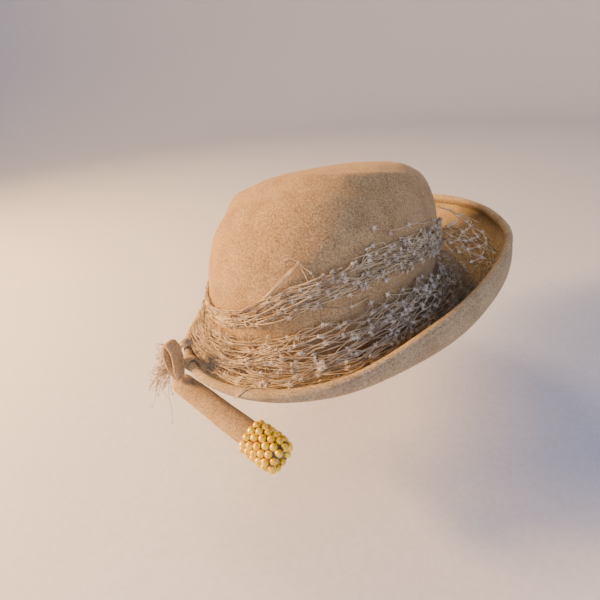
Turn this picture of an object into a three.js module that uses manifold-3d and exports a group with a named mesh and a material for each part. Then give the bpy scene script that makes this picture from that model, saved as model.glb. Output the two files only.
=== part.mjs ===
// A woman's felt hat: a soft crown on a brim turned up all round, a gathered net veil,
// and a felt loop with a hanging felt quill that ends in a cuff of pearls.
// Millimetres. The origin is the middle of the head opening, on the underside of the brim.
// +Z is up, -Y is the wearer's front, +X is the wearer's left.

import * as THREE from 'three';
import { mergeVertices } from 'three/addons/utils/BufferGeometryUtils.js';
import Module from 'manifold-3d';

// Felt, seams and gaps
const CROWN_FELT = 2;
const BRIM_FELT = 2;
const SEAM = 0.3;
// Extra room where the facets of two curved faces don't line up
const FACET_ROOM = 0.6;

// Head opening, measured outside the crown's foot
const HEAD_HALF_WIDTH = 77;
const HEAD_HALF_LENGTH = 96;
const HEAD_SQUARENESS = 2.15;

// Crown
const CROWN_HEIGHT = 94;
const CROWN_LEFT_LIFT = 11.5;
const CROWN_FRONT_LIFT = 12;
const CROWN_LEAN_LEFT = 7.6;
const CROWN_LEAN_BACK = 3.4;

// Brim: greatest width beyond the crown, rise of the rim, dip of the trough and swell of the wall
const BRIM_WIDTH = 60;
const BRIM_RISE = 41;
const BRIM_DIP = 15;
const BRIM_SWELL = 12;
// Where the trough is deepest across it, where up the wall it swells, and how much wall,
// as a share of the greatest rise, takes the full swell
const BRIM_TROUGH = 0.5;
const BRIM_BULGE = 0.12;
const BRIM_FULL_WALL = 0.9;
const ROLL_RADIUS = 2.8;
const ROLL_SWELL = 0.6;
const ROLL_TUCK = 0.25;
const FOLD_DEPTH = 8;
const FOLD_FELT = 1.6;

// Veil
const VEIL_THICKNESS = 2.2;
const VEIL_RIPPLE = 0.8;
const VEIL_WANDER = 0.03;
const VEIL_EDGE = 0.6;
// How fast wander and ripple change, in radians a step round the band and across it
const VEIL_WANDER_BEAT = [2.4, 1.7];
const VEIL_RIPPLE_BEAT = [1.9, 2.6];
const VEIL_STRIPS = [0, 0.2, 0.38, 0.6, 0.78, 1];
const VEIL_SAG = 14;
const VEIL_STEP = 0.2;
const TAIL_LENGTH = 21;
const TAIL_THICKNESS = 4.4;
const TAIL_BEND = 0.06;
const TAIL_TAPER = [0.62, 0.5, 0.3];

// Loop and the strap that holds it to the rim
const LOOP_HEIGHT = 30;
const LOOP_WIDTH = 10.3;
const LOOP_STRIP = 9;
const LOOP_FELT = 2.8;
const LOOP_PINCH = 0.25;
const LOOP_HOLE_FOOT = 0.3;
const LOOP_GATHER = 0.55;
const LOOP_SIDES = 16;
const LOOP_DROP = 10.7;
const LOOP_SIDE = 0.7;
const STRAP_WIDTH = 7;
const STRAP_FELT = 1.6;
const STRAP_TAIL = 8;

// Quill: it hangs by a grip near its closed end, turned and drooping in degrees
const QUILL_LENGTH = 89;
const QUILL_TOP_RADIUS = 7.3;
const QUILL_END_RADIUS = 8.6;
const QUILL_WALL = 2;
const QUILL_GRIP = 8.4;
const QUILL_OUT = -3;
const QUILL_TURN = -3.7;
const QUILL_DROOP = 14.5;

// Pearls
const PEARL_RADIUS = 2.5;
const PEARL_SINK = 0.5;
const PEARLS_ROUND = 12;
const CUFF_WALL = 1.2;

// Mesh fineness
const CROWN_SIDES = 40;
const CROWN_RINGS = 9;
const CROWN_LAST_RING = 0.95;
const BRIM_SIDES = 54;
const BRIM_STEPS = 5;
const ROLL_STEPS = 5;
const TAIL_SIDES = 5;
const STRAP_STEPS = 6;
const QUILL_SIDES = 20;
const PEARL_SIDES = 10;

// The crown's profile from foot to tip: height and width as shares of its own
const CROWN_PROFILE = [
  { height: 0, width: 1 },
  { height: 0.2, width: 0.99 },
  { height: 0.4, width: 0.98 },
  { height: 0.58, width: 0.94 },
  { height: 0.73, width: 0.87 },
  { height: 0.85, width: 0.775 },
  { height: 0.93, width: 0.65 },
  { height: 0.98, width: 0.48 },
  { height: 1, width: 0.26 },
  { height: 1, width: 0 },
];

// Soft dents pressed into the crown: depth as a share of the head's half width,
// place and half size in degrees round the crown and in shares of the way up it
const CROWN_DENTS = [
  { angle: 272, along: 0.52, depth: 0.055, reach: 26, rise: 0.13 },
  { angle: 318, along: 0.56, depth: 0.03, reach: 24, rise: 0.1 },
];

// The brim round the head: width, rise of the rim and dip of the trough, as shares of
// the greatest ones
const BRIM_ROUND = [
  { angle: 0, width: 0.71, rise: 0.9, dip: 0.2 },
  { angle: 30, width: 0.88, rise: 1, dip: 0.2 },
  { angle: 60, width: 1, rise: 0.95, dip: 0.2 },
  { angle: 90, width: 0.98, rise: 0.82, dip: 0.2 },
  { angle: 120, width: 0.77, rise: 0.65, dip: 0.25 },
  { angle: 150, width: 0.47, rise: 0.42, dip: 0.35 },
  { angle: 180, width: 0.27, rise: 0.17, dip: 0.55 },
  { angle: 210, width: 0.21, rise: -0.08, dip: 0.8 },
  { angle: 240, width: 0.36, rise: -0.14, dip: 1 },
  { angle: 270, width: 0.49, rise: 0.01, dip: 0.8 },
  { angle: 300, width: 0.58, rise: 0.29, dip: 0.45 },
  { angle: 330, width: 0.6, rise: 0.67, dip: 0.25 },
];

// The upper band of the veil: its two edges as shares of the way up the crown
const VEIL_UPPER = [
  { angle: 0, low: 0.22, high: 0.335 },
  { angle: 30, low: 0.19, high: 0.3 },
  { angle: 90, low: 0.13, high: 0.235 },
  { angle: 150, low: 0.11, high: 0.2 },
  { angle: 210, low: 0.1, high: 0.165 },
  { angle: 240, low: 0.075, high: 0.135 },
  { angle: 258, low: 0.085, high: 0.15 },
  { angle: 266, low: 0.105, high: 0.175 },
  { angle: 274, low: 0.125, high: 0.21 },
  { angle: 285, low: 0.165, high: 0.262 },
  { angle: 292, low: 0.185, high: 0.285 },
  { angle: 302, low: 0.21, high: 0.31 },
  { angle: 322, low: 0.235, high: 0.342 },
  { angle: 344, low: 0.23, high: 0.34 },
];

// The lower band: where it leaves the crown, how far out on the brim it lands, and how
// much of the greatest sag it has between the two
const VEIL_LOWER = [
  { angle: 0, crown: 0.16, brim: 0.55, sag: 1 },
  { angle: 30, crown: 0.12, brim: 0.66, sag: 1 },
  { angle: 60, crown: 0.1, brim: 0.7, sag: 0.9 },
  { angle: 90, crown: 0.08, brim: 0.5, sag: 0.6 },
  { angle: 150, crown: 0.07, brim: 0.45, sag: 0.3 },
  { angle: 190, crown: 0.075, brim: 0.8, sag: 0 },
  { angle: 220, crown: 0.075, brim: 1, sag: -0.2 },
  { angle: 236, crown: 0.06, brim: 1, sag: -0.05 },
  { angle: 246, crown: 0.055, brim: 0.62, sag: 0 },
  { angle: 258, crown: 0.06, brim: 0.52, sag: 0 },
  { angle: 280, crown: 0.1, brim: 0.58, sag: 0.3 },
  { angle: 300, crown: 0.155, brim: 0.58, sag: 0.7 },
  { angle: 322, crown: 0.2, brim: 0.56, sag: 1 },
  { angle: 343, crown: 0.195, brim: 0.55, sag: 1 },
];

// Places of the trimming round the rim
const STRAP_ANGLE = 251.5;
const TAIL_ANGLE = 242;

// The gathered end of the veil: a rope of net over the rim, as places out from the rim,
// round it and up from its top, and the loose ends that fan out from it
const TAIL_ROPE = [
  { out: -0.17, round: 0.02, up: 0.17, thick: 0.8 },
  { out: 0, round: 0, up: 0.14, thick: 1 },
  { out: 0.2, round: -0.04, up: 0, thick: 1 },
  { out: 0.33, round: -0.08, up: -0.22, thick: 0.8 },
];
const TAIL_ENDS = [
  { out: 0.6, round: -0.5, up: -0.1 },
  { out: 0.85, round: -0.45, up: -0.42 },
  { out: 1.05, round: -0.3, up: -0.82 },
  { out: 1.2, round: -0.1, up: -1.22 },
  { out: 0.85, round: -0.12, up: -1.02 },
];

// The quill's closed end: place from its tip as a share of the top radius, and width
const QUILL_CAP = [
  { back: 0, width: 0.4 },
  { back: 0.14, width: 0.76 },
  { back: 0.42, width: 0.95 },
  { back: 0.9, width: 1 },
];

// The rows of pearls from the felt to the open end: radius as a share of the full ring,
// and pearls in the row as a share of a full row's
const PEARL_ROWS = [
  { ring: 0.98, share: 1 },
  { ring: 1, share: 1 },
  { ring: 1.02, share: 1 },
  { ring: 1.02, share: 1 },
  { ring: 1, share: 1 },
  { ring: 0.86, share: 0.84 },
];

const FELT = { color: 0xa58d76, roughness: 0.95, metalness: 0 };
const NET = { color: 0xb6a48c, roughness: 0.9, metalness: 0 };
const PEARL = { color: 0xe8b84a, roughness: 0.25, metalness: 0.35 };

const wasm = await Module();
wasm.setup();

const radians = THREE.MathUtils.degToRad;

// Reads a column of a table with an angle in each row, smoothly and all the way round
function around(table, column, angle) {
  const turn = THREE.MathUtils.euclideanModulo(THREE.MathUtils.radToDeg(angle), 360);
  const count = table.length;
  const row = (i) => table[THREE.MathUtils.euclideanModulo(i, count)];
  const place = (i) => row(i).angle + 360 * Math.floor(i / count);
  const i = table.findLastIndex((entry) => entry.angle <= turn);
  const span = place(i + 1) - place(i);
  const slope = (k) => (row(k + 1)[column] - row(k - 1)[column]) / (place(k + 1) - place(k - 1));
  const t = (turn - place(i)) / span;
  const t2 = t * t;
  const t3 = t2 * t;
  return (2 * t3 - 3 * t2 + 1) * row(i)[column] + (t3 - 2 * t2 + t) * span * slope(i)
    + (3 * t2 - 2 * t3) * row(i + 1)[column] + (t3 - t2) * span * slope(i + 1);
}

// Joins rings of points into one closed skin, with the last ring joined to the first or
// both ends closed by a point
function skin(rings, ends) {
  const sides = rings[0].length;
  const points = rings.flat();
  const faces = [];
  const join = (a, b) => {
    for (let i = 0; i < sides; i += 1) {
      const j = (i + 1) % sides;
      faces.push(a * sides + i, a * sides + j, b * sides + j);
      faces.push(a * sides + i, b * sides + j, b * sides + i);
    }
  };
  for (let k = 0; k + 1 < rings.length; k += 1) join(k, k + 1);
  if (!ends) {
    join(rings.length - 1, 0);
    return meshFrom(points, faces);
  }
  const last = (rings.length - 1) * sides;
  points.push(ends[0], ends[1]);
  for (let i = 0; i < sides; i += 1) {
    const j = (i + 1) % sides;
    faces.push(points.length - 2, j, i);
    faces.push(points.length - 1, last + i, last + j);
  }
  return meshFrom(points, faces);
}

function meshFrom(points, faces) {
  const geometry = new THREE.BufferGeometry();
  geometry.setFromPoints(points);
  geometry.setIndex(faces);
  geometry.computeVertexNormals();
  return geometry;
}

function toSolid(geometry) {
  const bare = geometry.clone();
  bare.deleteAttribute('normal');
  bare.deleteAttribute('uv');
  const merged = mergeVertices(bare, 0.001);
  return new wasm.Manifold(new wasm.Mesh({
    numProp: 3,
    vertProperties: new Float32Array(merged.attributes.position.array),
    triVerts: new Uint32Array(merged.index.array),
  }));
}

function fromSolid(solid) {
  const mesh = solid.getMesh();
  const geometry = new THREE.BufferGeometry();
  geometry.setAttribute('position', new THREE.BufferAttribute(mesh.vertProperties, 3));
  geometry.setIndex(new THREE.BufferAttribute(mesh.triVerts, 1));
  geometry.computeVertexNormals();
  return geometry;
}

function headRadius(angle) {
  const across = Math.abs(Math.cos(angle)) / HEAD_HALF_WIDTH;
  const along = Math.abs(Math.sin(angle)) / HEAD_HALF_LENGTH;
  return (across ** HEAD_SQUARENESS + along ** HEAD_SQUARENESS) ** (-1 / HEAD_SQUARENESS);
}

const CROWN_FOOT = BRIM_FELT + SEAM;
const crownCurve = new THREE.SplineCurve(CROWN_PROFILE.map((row) => (
  new THREE.Vector2(row.width * HEAD_HALF_LENGTH, row.height * CROWN_HEIGHT)
)));
crownCurve.arcLengthDivisions = 400;

function crownSkin(angle, along) {
  const place = crownCurve.getPointAt(THREE.MathUtils.clamp(along, 0, 1));
  const height = Math.min(place.y / CROWN_HEIGHT, 1);
  let radius = headRadius(angle) * Math.max(place.x, 0) / HEAD_HALF_LENGTH;
  for (const dent of CROWN_DENTS) {
    const past = THREE.MathUtils.radToDeg(angle) - dent.angle;
    const turn = THREE.MathUtils.euclideanModulo(past + 180, 360) - 180;
    const fade = Math.exp(-((turn / dent.reach) ** 2) - ((along - dent.along) / dent.rise) ** 2);
    radius -= dent.depth * HEAD_HALF_WIDTH * fade * Math.min(1, radius / HEAD_HALF_WIDTH);
  }
  const x = radius * Math.cos(angle) + CROWN_LEAN_LEFT * height;
  const y = radius * Math.sin(angle) + CROWN_LEAN_BACK * height;
  const top = CROWN_HEIGHT + CROWN_LEFT_LIFT * x / HEAD_HALF_WIDTH
    - CROWN_FRONT_LIFT * y / HEAD_HALF_LENGTH;
  return new THREE.Vector3(x, y, CROWN_FOOT + height * (top - CROWN_FOOT));
}

// A point at a distance out of the crown's felt; the distance is negative inside it
function crownPoint(angle, along, out) {
  const step = 0.01;
  const round = crownSkin(angle + step, along).sub(crownSkin(angle - step, along));
  const up = crownSkin(angle, along + step).sub(crownSkin(angle, along - step));
  return crownSkin(angle, along).addScaledVector(round.cross(up).normalize(), out);
}

function ring(sides, at) {
  return Array.from({ length: sides }, (_, i) => at(i * 2 * Math.PI / sides, i));
}

function makeCrown() {
  const outside = [];
  const inside = [];
  for (let k = 0; k <= CROWN_RINGS; k += 1) {
    const along = CROWN_LAST_RING * k / CROWN_RINGS;
    outside.push(ring(CROWN_SIDES, (angle) => crownPoint(angle, along, 0)));
    inside.push(ring(CROWN_SIDES, (angle) => crownPoint(angle, along, -CROWN_FELT)));
  }
  for (const point of inside[0]) point.z = CROWN_FOOT;
  const tip = crownSkin(0, 1);
  const under = tip.clone();
  under.z -= CROWN_FELT;
  return skin([...inside.reverse(), ...outside], [under, tip]);
}

// The brim's outer face in one vertical plane: run outwards and height
function brimCurve(angle) {
  const foot = headRadius(angle);
  const width = BRIM_WIDTH * around(BRIM_ROUND, 'width', angle);
  const rise = BRIM_RISE * around(BRIM_ROUND, 'rise', angle);
  const dip = BRIM_DIP * around(BRIM_ROUND, 'dip', angle);
  const wall = rise + dip;
  const swell = BRIM_SWELL * Math.min(1, wall / (BRIM_FULL_WALL * BRIM_RISE));
  return new THREE.CubicBezierCurve(
    new THREE.Vector2(foot - CROWN_FELT, 0),
    new THREE.Vector2(foot + BRIM_TROUGH * width, -dip),
    new THREE.Vector2(foot + width + swell, BRIM_BULGE * wall - dip),
    new THREE.Vector2(foot + width, rise),
  );
}

// A point a share of the way out on the brim, at a distance in from its outer face
function brimPoint(angle, share, inward, curve = brimCurve(angle)) {
  const place = curve.getPointAt(share);
  const run = curve.getTangentAt(share);
  return new THREE.Vector2(place.x - run.y * inward, place.y + run.x * inward);
}

function swing(point, angle) {
  return new THREE.Vector3(point.x * Math.cos(angle), point.x * Math.sin(angle), point.y);
}

// A point round the roll of the rim: a turn of 0 faces outwards and a quarter turn up
function rollPoint(curve, turn, radius) {
  const share = 1 - ROLL_RADIUS / curve.getLength();
  const run = curve.getTangentAt(share);
  const middle = curve.getPointAt(share);
  const inward = ROLL_RADIUS - ROLL_SWELL - radius * Math.cos(turn);
  const onward = radius * Math.sin(turn);
  return new THREE.Vector2(
    middle.x - run.y * inward + run.x * onward,
    middle.y + run.x * inward + run.y * onward,
  );
}

function foldShare(curve) {
  return 1 - FOLD_DEPTH / curve.getLength();
}

function brimSection(angle) {
  const curve = brimCurve(angle);
  const fold = foldShare(curve);
  const section = [];
  for (let k = 0; k <= BRIM_STEPS; k += 1) {
    section.push(brimPoint(angle, fold * k / BRIM_STEPS, BRIM_FELT, curve));
  }
  section.push(brimPoint(angle, fold, BRIM_FELT + FOLD_FELT, curve));
  const sweep = Math.PI + 2 * ROLL_TUCK;
  for (let k = ROLL_STEPS; k >= 0; k -= 1) {
    section.push(rollPoint(curve, sweep * k / ROLL_STEPS - ROLL_TUCK, ROLL_RADIUS));
  }
  for (let k = BRIM_STEPS; k >= 0; k -= 1) {
    section.push(brimPoint(angle, fold * k / BRIM_STEPS, 0, curve));
  }
  return section.map((point) => swing(point, angle));
}

function makeBrim() {
  return skin(ring(BRIM_SIDES, brimSection), null);
}

// A band of net: a sheet of given thickness round the hat, cut through by rows of gaps
function netBand(sides, at) {
  const across = VEIL_STRIPS.length;
  const last = across - 1;
  const low = [];
  const high = [];
  const beat = (rate, i, k) => Math.sin(i * rate[0] + k * rate[1]);
  for (let i = 0; i < sides; i += 1) {
    const angle = i * 2 * Math.PI / sides;
    VEIL_STRIPS.forEach((share, k) => {
      const edge = k === 0 || k === last;
      const wander = edge ? 0 : VEIL_WANDER * beat(VEIL_WANDER_BEAT, i, k);
      const ripple = VEIL_RIPPLE * beat(VEIL_RIPPLE_BEAT, i, k);
      const thick = edge ? VEIL_EDGE * VEIL_THICKNESS : VEIL_THICKNESS + ripple;
      low.push(at(angle, share + wander, 0));
      high.push(at(angle, share + wander, thick));
    });
  }
  const points = [...low, ...high];
  const under = (i, k) => (i % sides) * across + k;
  const over = (i, k) => low.length + under(i, k);
  const open = (i, k) => k % 2 === 1 && (i + (k - 1) / 2) % 2 === 0;
  const faces = [];
  const quad = (a, b, c, d) => faces.push(a, b, c, a, c, d);
  for (let i = 0; i < sides; i += 1) {
    for (let k = 0; k < last; k += 1) {
      if (open(i, k)) {
        quad(over(i, k), over(i + 1, k), under(i + 1, k), under(i, k));
        quad(over(i + 1, k), over(i + 1, k + 1), under(i + 1, k + 1), under(i + 1, k));
        quad(over(i + 1, k + 1), over(i, k + 1), under(i, k + 1), under(i + 1, k + 1));
        quad(over(i, k + 1), over(i, k), under(i, k), under(i, k + 1));
      } else {
        quad(over(i, k), over(i + 1, k), over(i + 1, k + 1), over(i, k + 1));
        quad(under(i, k + 1), under(i + 1, k + 1), under(i + 1, k), under(i, k));
      }
    }
    quad(under(i, 0), under(i + 1, 0), over(i + 1, 0), over(i, 0));
    quad(over(i, last), over(i + 1, last), under(i + 1, last), under(i, last));
  }
  return meshFrom(points, faces);
}

function makeVeilUpper() {
  return netBand(CROWN_SIDES, (angle, share, out) => {
    const low = around(VEIL_UPPER, 'low', angle);
    const high = around(VEIL_UPPER, 'high', angle);
    return crownPoint(angle, low + (high - low) * share, SEAM + FACET_ROOM / 2 + out);
  });
}

// The lower band runs from the brim in to the crown, and clears and tops the rim's fold
function lowerCurve(angle) {
  const rim = brimCurve(angle);
  const share = Math.min(1, around(VEIL_LOWER, 'brim', angle));
  const fold = THREE.MathUtils.smoothstep(share, foldShare(rim) - VEIL_STEP, foldShare(rim));
  const over = 2 * ROLL_RADIUS - ROLL_SWELL - BRIM_FELT + SEAM;
  const clear = BRIM_FELT + SEAM + 2 * FACET_ROOM + over * fold;
  const brim = swing(brimPoint(angle, share, clear, rim), angle);
  brim.z += ROLL_RADIUS * fold;
  const crown = crownPoint(angle, around(VEIL_LOWER, 'crown', angle), SEAM);
  const middle = crown.clone().lerp(brim, 0.5);
  middle.z -= VEIL_SAG * around(VEIL_LOWER, 'sag', angle);
  return new THREE.QuadraticBezierCurve3(brim, middle, crown);
}

function makeVeilLower() {
  return netBand(CROWN_SIDES, (angle, share, out) => {
    const curve = lowerCurve(angle);
    const run = curve.getTangent(share);
    const round = new THREE.Vector3(-Math.sin(angle), Math.cos(angle), 0);
    return curve.getPoint(share).addScaledVector(round.cross(run).normalize(), out);
  });
}

// A tube of changing radius along points, closed at both ends
function strand(points, radii, sides) {
  const curve = new THREE.CatmullRomCurve3(points);
  const steps = radii.length - 1;
  const frames = curve.computeFrenetFrames(steps, false);
  const rings = radii.map((radius, k) => {
    const centre = curve.getPointAt(k / steps);
    return ring(sides, (turn) => centre.clone()
      .addScaledVector(frames.normals[k], radius * Math.cos(turn))
      .addScaledVector(frames.binormals[k], radius * Math.sin(turn)));
  });
  return skin(rings, [curve.getPointAt(0), curve.getPointAt(1)]);
}

// Axes at a place on the rim: round it to the wearer's left, up, and outwards
function rimAxes(angle) {
  const round = new THREE.Vector3(-Math.sin(angle), Math.cos(angle), 0);
  const up = new THREE.Vector3(0, 0, 1);
  return { round, up, out: new THREE.Vector3(Math.cos(angle), Math.sin(angle), 0) };
}

// A point beside the top of the rim
function beside(angle, out, round, up) {
  const axes = rimAxes(angle);
  return swing(brimCurve(angle).getPoint(1), angle)
    .addScaledVector(axes.out, out)
    .addScaledVector(axes.round, round)
    .addScaledVector(axes.up, up);
}

function makeVeilTail() {
  const angle = radians(TAIL_ANGLE);
  const at = (row) => (
    beside(angle, row.out * TAIL_LENGTH, row.round * TAIL_LENGTH, row.up * TAIL_LENGTH)
  );
  const thickness = TAIL_ROPE.map((row) => row.thick * TAIL_THICKNESS / 2);
  let solid = toSolid(strand(TAIL_ROPE.map(at), thickness, TAIL_SIDES));
  const root = at(TAIL_ROPE.at(-1));
  for (const row of TAIL_ENDS) {
    const end = at(row);
    const bend = root.clone().lerp(end, 0.5);
    bend.z += TAIL_BEND * TAIL_LENGTH;
    const radii = TAIL_TAPER.map((share) => share * TAIL_THICKNESS / 2);
    solid = solid.add(toSolid(strand([root, bend, end], radii, TAIL_SIDES)));
  }
  return fromSolid(solid);
}

// A drop outline, pinched at its foot
function drop(path, width, low, high) {
  for (let i = 0; i < LOOP_SIDES; i += 1) {
    const turn = 2 * Math.PI * i / LOOP_SIDES;
    const side = width / 2 * Math.sin(turn) * (LOOP_PINCH + Math.sin(turn / 2));
    const height = low + (high - low) * (1 - Math.cos(turn)) / 2;
    if (i === 0) path.moveTo(side, height);
    else path.lineTo(side, height);
  }
  path.closePath();
  return path;
}

// The loop in its own frame: width along X, height along Y, outwards along Z
function makeLoop() {
  const outline = drop(new THREE.Shape(), LOOP_WIDTH, 0, LOOP_HEIGHT);
  const foot = LOOP_HOLE_FOOT * LOOP_HEIGHT;
  const top = LOOP_HEIGHT - LOOP_FELT;
  outline.holes.push(drop(new THREE.Path(), LOOP_WIDTH - 2 * LOOP_FELT, foot, top));
  const geometry = new THREE.ExtrudeGeometry(outline, {
    depth: LOOP_STRIP, steps: 1, curveSegments: 1, bevelEnabled: false,
  });
  const place = geometry.attributes.position;
  for (let i = 0; i < place.count; i += 1) {
    const open = THREE.MathUtils.smoothstep(place.getY(i), -LOOP_HEIGHT / 4, LOOP_HEIGHT / 2);
    const scale = THREE.MathUtils.lerp(LOOP_GATHER, 1, open);
    place.setZ(i, (place.getZ(i) - LOOP_STRIP / 2) * scale);
  }
  return geometry;
}

// The strap's run over the rolled rim in one vertical plane, from its inner side to the
// loop's foot outside, at a height above its underside
function strapLine(angle, height) {
  const curve = brimCurve(angle);
  const clear = SEAM + FACET_ROOM + height;
  const line = [];
  for (let k = 0; k <= STRAP_STEPS; k += 1) {
    line.push(rollPoint(curve, Math.PI * (1 - k / STRAP_STEPS), ROLL_RADIUS + clear));
  }
  for (const share of [0.5, 1]) {
    const down = 1 - (ROLL_RADIUS + share * STRAP_TAIL) / curve.getLength();
    line.push(brimPoint(angle, down, -clear, curve));
  }
  return line.map((point) => swing(point, angle));
}

function makeStrap() {
  const middle = radians(STRAP_ANGLE);
  const half = STRAP_WIDTH / 2 / brimCurve(middle).getPoint(1).x;
  const edges = [
    strapLine(middle - half, 0),
    strapLine(middle - half, STRAP_FELT),
    strapLine(middle + half, STRAP_FELT),
    strapLine(middle + half, 0),
  ];
  const rings = edges[0].map((_, k) => edges.map((edge) => edge[k])).reverse();
  const centre = (points) => points[0].clone().lerp(points[2], 0.5);
  return skin(rings, [centre(rings[0]), centre(rings.at(-1))]);
}

// The quill in its own frame: its closed end at the origin and its run along Y
function makeQuill() {
  const cap = QUILL_CAP.map((row) => (
    new THREE.Vector2(row.width, row.back).multiplyScalar(QUILL_TOP_RADIUS)
  ));
  const inside = cap.map((point) => new THREE.Vector2(
    point.x * (1 - QUILL_WALL / QUILL_TOP_RADIUS),
    point.y + QUILL_WALL,
  ));
  const profile = [
    new THREE.Vector2(0, 0),
    ...cap,
    new THREE.Vector2(QUILL_END_RADIUS, QUILL_LENGTH),
    new THREE.Vector2(QUILL_END_RADIUS - QUILL_WALL, QUILL_LENGTH),
    ...inside.reverse(),
    new THREE.Vector2(0, QUILL_WALL),
  ];
  return new THREE.LatheGeometry(profile, QUILL_SIDES);
}

// The cuff in the quill's frame: pearls in nested rows, fused to a sleeve with a lip
function makeCuff() {
  const bore = QUILL_END_RADIUS + SEAM;
  const sleeve = bore + CUFF_WALL;
  const full = sleeve - PEARL_SINK;
  const stagger = 2 * full * Math.sin(Math.PI / PEARLS_ROUND / 2);
  const rowStep = Math.sqrt((2 * PEARL_RADIUS) ** 2 - stagger ** 2);
  const end = QUILL_LENGTH + SEAM + CUFF_WALL;
  const lastRow = end - PEARL_RADIUS / 2;
  const start = lastRow - rowStep * (PEARL_ROWS.length - 1) - PEARL_RADIUS / 2;
  const tube = new THREE.CylinderGeometry(sleeve, sleeve, end - start, PEARLS_ROUND);
  tube.translate(0, (start + end) / 2, 0);
  const solids = [toSolid(tube)];
  PEARL_ROWS.forEach((row, k) => {
    const count = Math.round(PEARLS_ROUND * row.share);
    const along = lastRow - rowStep * (PEARL_ROWS.length - 1 - k);
    for (let i = 0; i < count; i += 1) {
      const pearl = new THREE.SphereGeometry(PEARL_RADIUS, PEARL_SIDES, 4);
      pearl.rotateZ(-Math.PI / 2);
      pearl.translate(full * row.ring, along, 0);
      pearl.rotateY(2 * Math.PI * (i + k % 2 / 2) / count);
      solids.push(toSolid(pearl));
    }
  });
  const beyond = 2 * PEARL_RADIUS;
  const mouth = QUILL_END_RADIUS - QUILL_WALL;
  const hollow = toSolid(new THREE.LatheGeometry([
    new THREE.Vector2(0, start - beyond),
    new THREE.Vector2(bore, start - beyond),
    new THREE.Vector2(bore, QUILL_LENGTH + SEAM),
    new THREE.Vector2(mouth, QUILL_LENGTH + SEAM),
    new THREE.Vector2(mouth, end + beyond),
    new THREE.Vector2(0, end + beyond),
  ], QUILL_SIDES));
  return fromSolid(wasm.Manifold.union(solids).subtract(hollow));
}

function piece(name, geometry, look) {
  const mesh = new THREE.Mesh(geometry, new THREE.MeshStandardMaterial(look));
  mesh.name = name;
  return mesh;
}

const group = new THREE.Group();
group.add(piece('crown', makeCrown(), FELT));
group.add(piece('brim', makeBrim(), FELT));
group.add(piece('veil_upper', makeVeilUpper(), NET));
group.add(piece('veil_lower', makeVeilLower(), NET));
group.add(piece('veil_tail', makeVeilTail(), NET));
group.add(piece('loop_strap', makeStrap(), FELT));

// The loop stands against the strap's outer face
const loopAxes = rimAxes(radians(STRAP_ANGLE));
const strapFace = Math.max(...strapLine(radians(STRAP_ANGLE), STRAP_FELT)
  .map((point) => point.dot(loopAxes.out)));
const loopFoot = beside(radians(STRAP_ANGLE), 0, -LOOP_SIDE, -LOOP_DROP);
const loopOut = strapFace + SEAM + LOOP_STRIP / 2 - loopFoot.dot(loopAxes.out);
const loop = piece('felt_loop', makeLoop(), FELT);
loop.position.copy(loopFoot.addScaledVector(loopAxes.out, loopOut));
loop.quaternion.setFromRotationMatrix(
  new THREE.Matrix4().makeBasis(loopAxes.round, loopAxes.up, loopAxes.out),
);
group.add(loop);

// The quill hangs from the loop's foot and carries the pearls
const hanging = new THREE.Group();
const turn = radians(QUILL_TURN);
const droop = radians(QUILL_DROOP);
const heading = new THREE.Vector3(
  Math.cos(droop) * Math.cos(turn),
  Math.cos(droop) * Math.sin(turn),
  -Math.sin(droop),
);
const grip = loop.position.clone().addScaledVector(loopAxes.out, QUILL_OUT);
grip.z -= SEAM + QUILL_TOP_RADIUS / Math.cos(droop);
hanging.position.copy(grip.addScaledVector(heading, -QUILL_GRIP));
hanging.quaternion.setFromUnitVectors(new THREE.Vector3(0, 1, 0), heading);
hanging.add(piece('quill', makeQuill(), FELT));
hanging.add(piece('pearl_cuff', makeCuff(), PEARL));
group.add(hanging);

export default group;
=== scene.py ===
"""A soft felt hat with a gathered net veil and a pearl-cuffed quill.

Lengths are in millimetres up to the last step, which writes each piece in metres. The origin is the
middle of the head opening. +Z is up, -Y the wearer's front, +X the wearer's left.
"""

import itertools
import math

import bpy
import numpy as np
from mathutils import Matrix, Vector, noise


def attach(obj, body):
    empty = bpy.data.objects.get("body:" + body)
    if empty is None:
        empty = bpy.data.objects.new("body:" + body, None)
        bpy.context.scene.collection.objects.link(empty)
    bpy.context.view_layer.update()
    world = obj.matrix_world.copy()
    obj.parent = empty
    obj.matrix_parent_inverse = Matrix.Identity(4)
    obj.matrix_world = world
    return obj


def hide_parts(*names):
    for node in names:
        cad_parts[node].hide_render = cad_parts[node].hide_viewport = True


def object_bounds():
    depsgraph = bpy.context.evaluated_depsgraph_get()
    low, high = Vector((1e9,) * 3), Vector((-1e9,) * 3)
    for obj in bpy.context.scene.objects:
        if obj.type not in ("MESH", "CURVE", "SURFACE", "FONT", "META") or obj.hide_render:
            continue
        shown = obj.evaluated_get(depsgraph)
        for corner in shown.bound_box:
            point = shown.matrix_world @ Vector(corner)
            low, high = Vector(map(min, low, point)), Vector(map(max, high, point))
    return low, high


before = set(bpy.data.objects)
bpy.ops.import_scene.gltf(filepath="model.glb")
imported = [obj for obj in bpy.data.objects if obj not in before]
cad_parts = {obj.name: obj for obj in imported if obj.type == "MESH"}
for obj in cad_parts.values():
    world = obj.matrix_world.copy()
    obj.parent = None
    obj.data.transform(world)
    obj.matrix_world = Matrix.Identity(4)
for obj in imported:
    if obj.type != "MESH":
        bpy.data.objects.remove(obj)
cad_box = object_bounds()

MM = 0.001
TURN = 2 * math.pi

# Felt and seams
CROWN_FELT = 2.0
BRIM_FELT = 2.0
SEAM = 0.3

# Head opening
HEAD_HALF_WIDTH = 77.0
HEAD_HALF_LENGTH = 96.0
HEAD_SQUARENESS = 2.15

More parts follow.
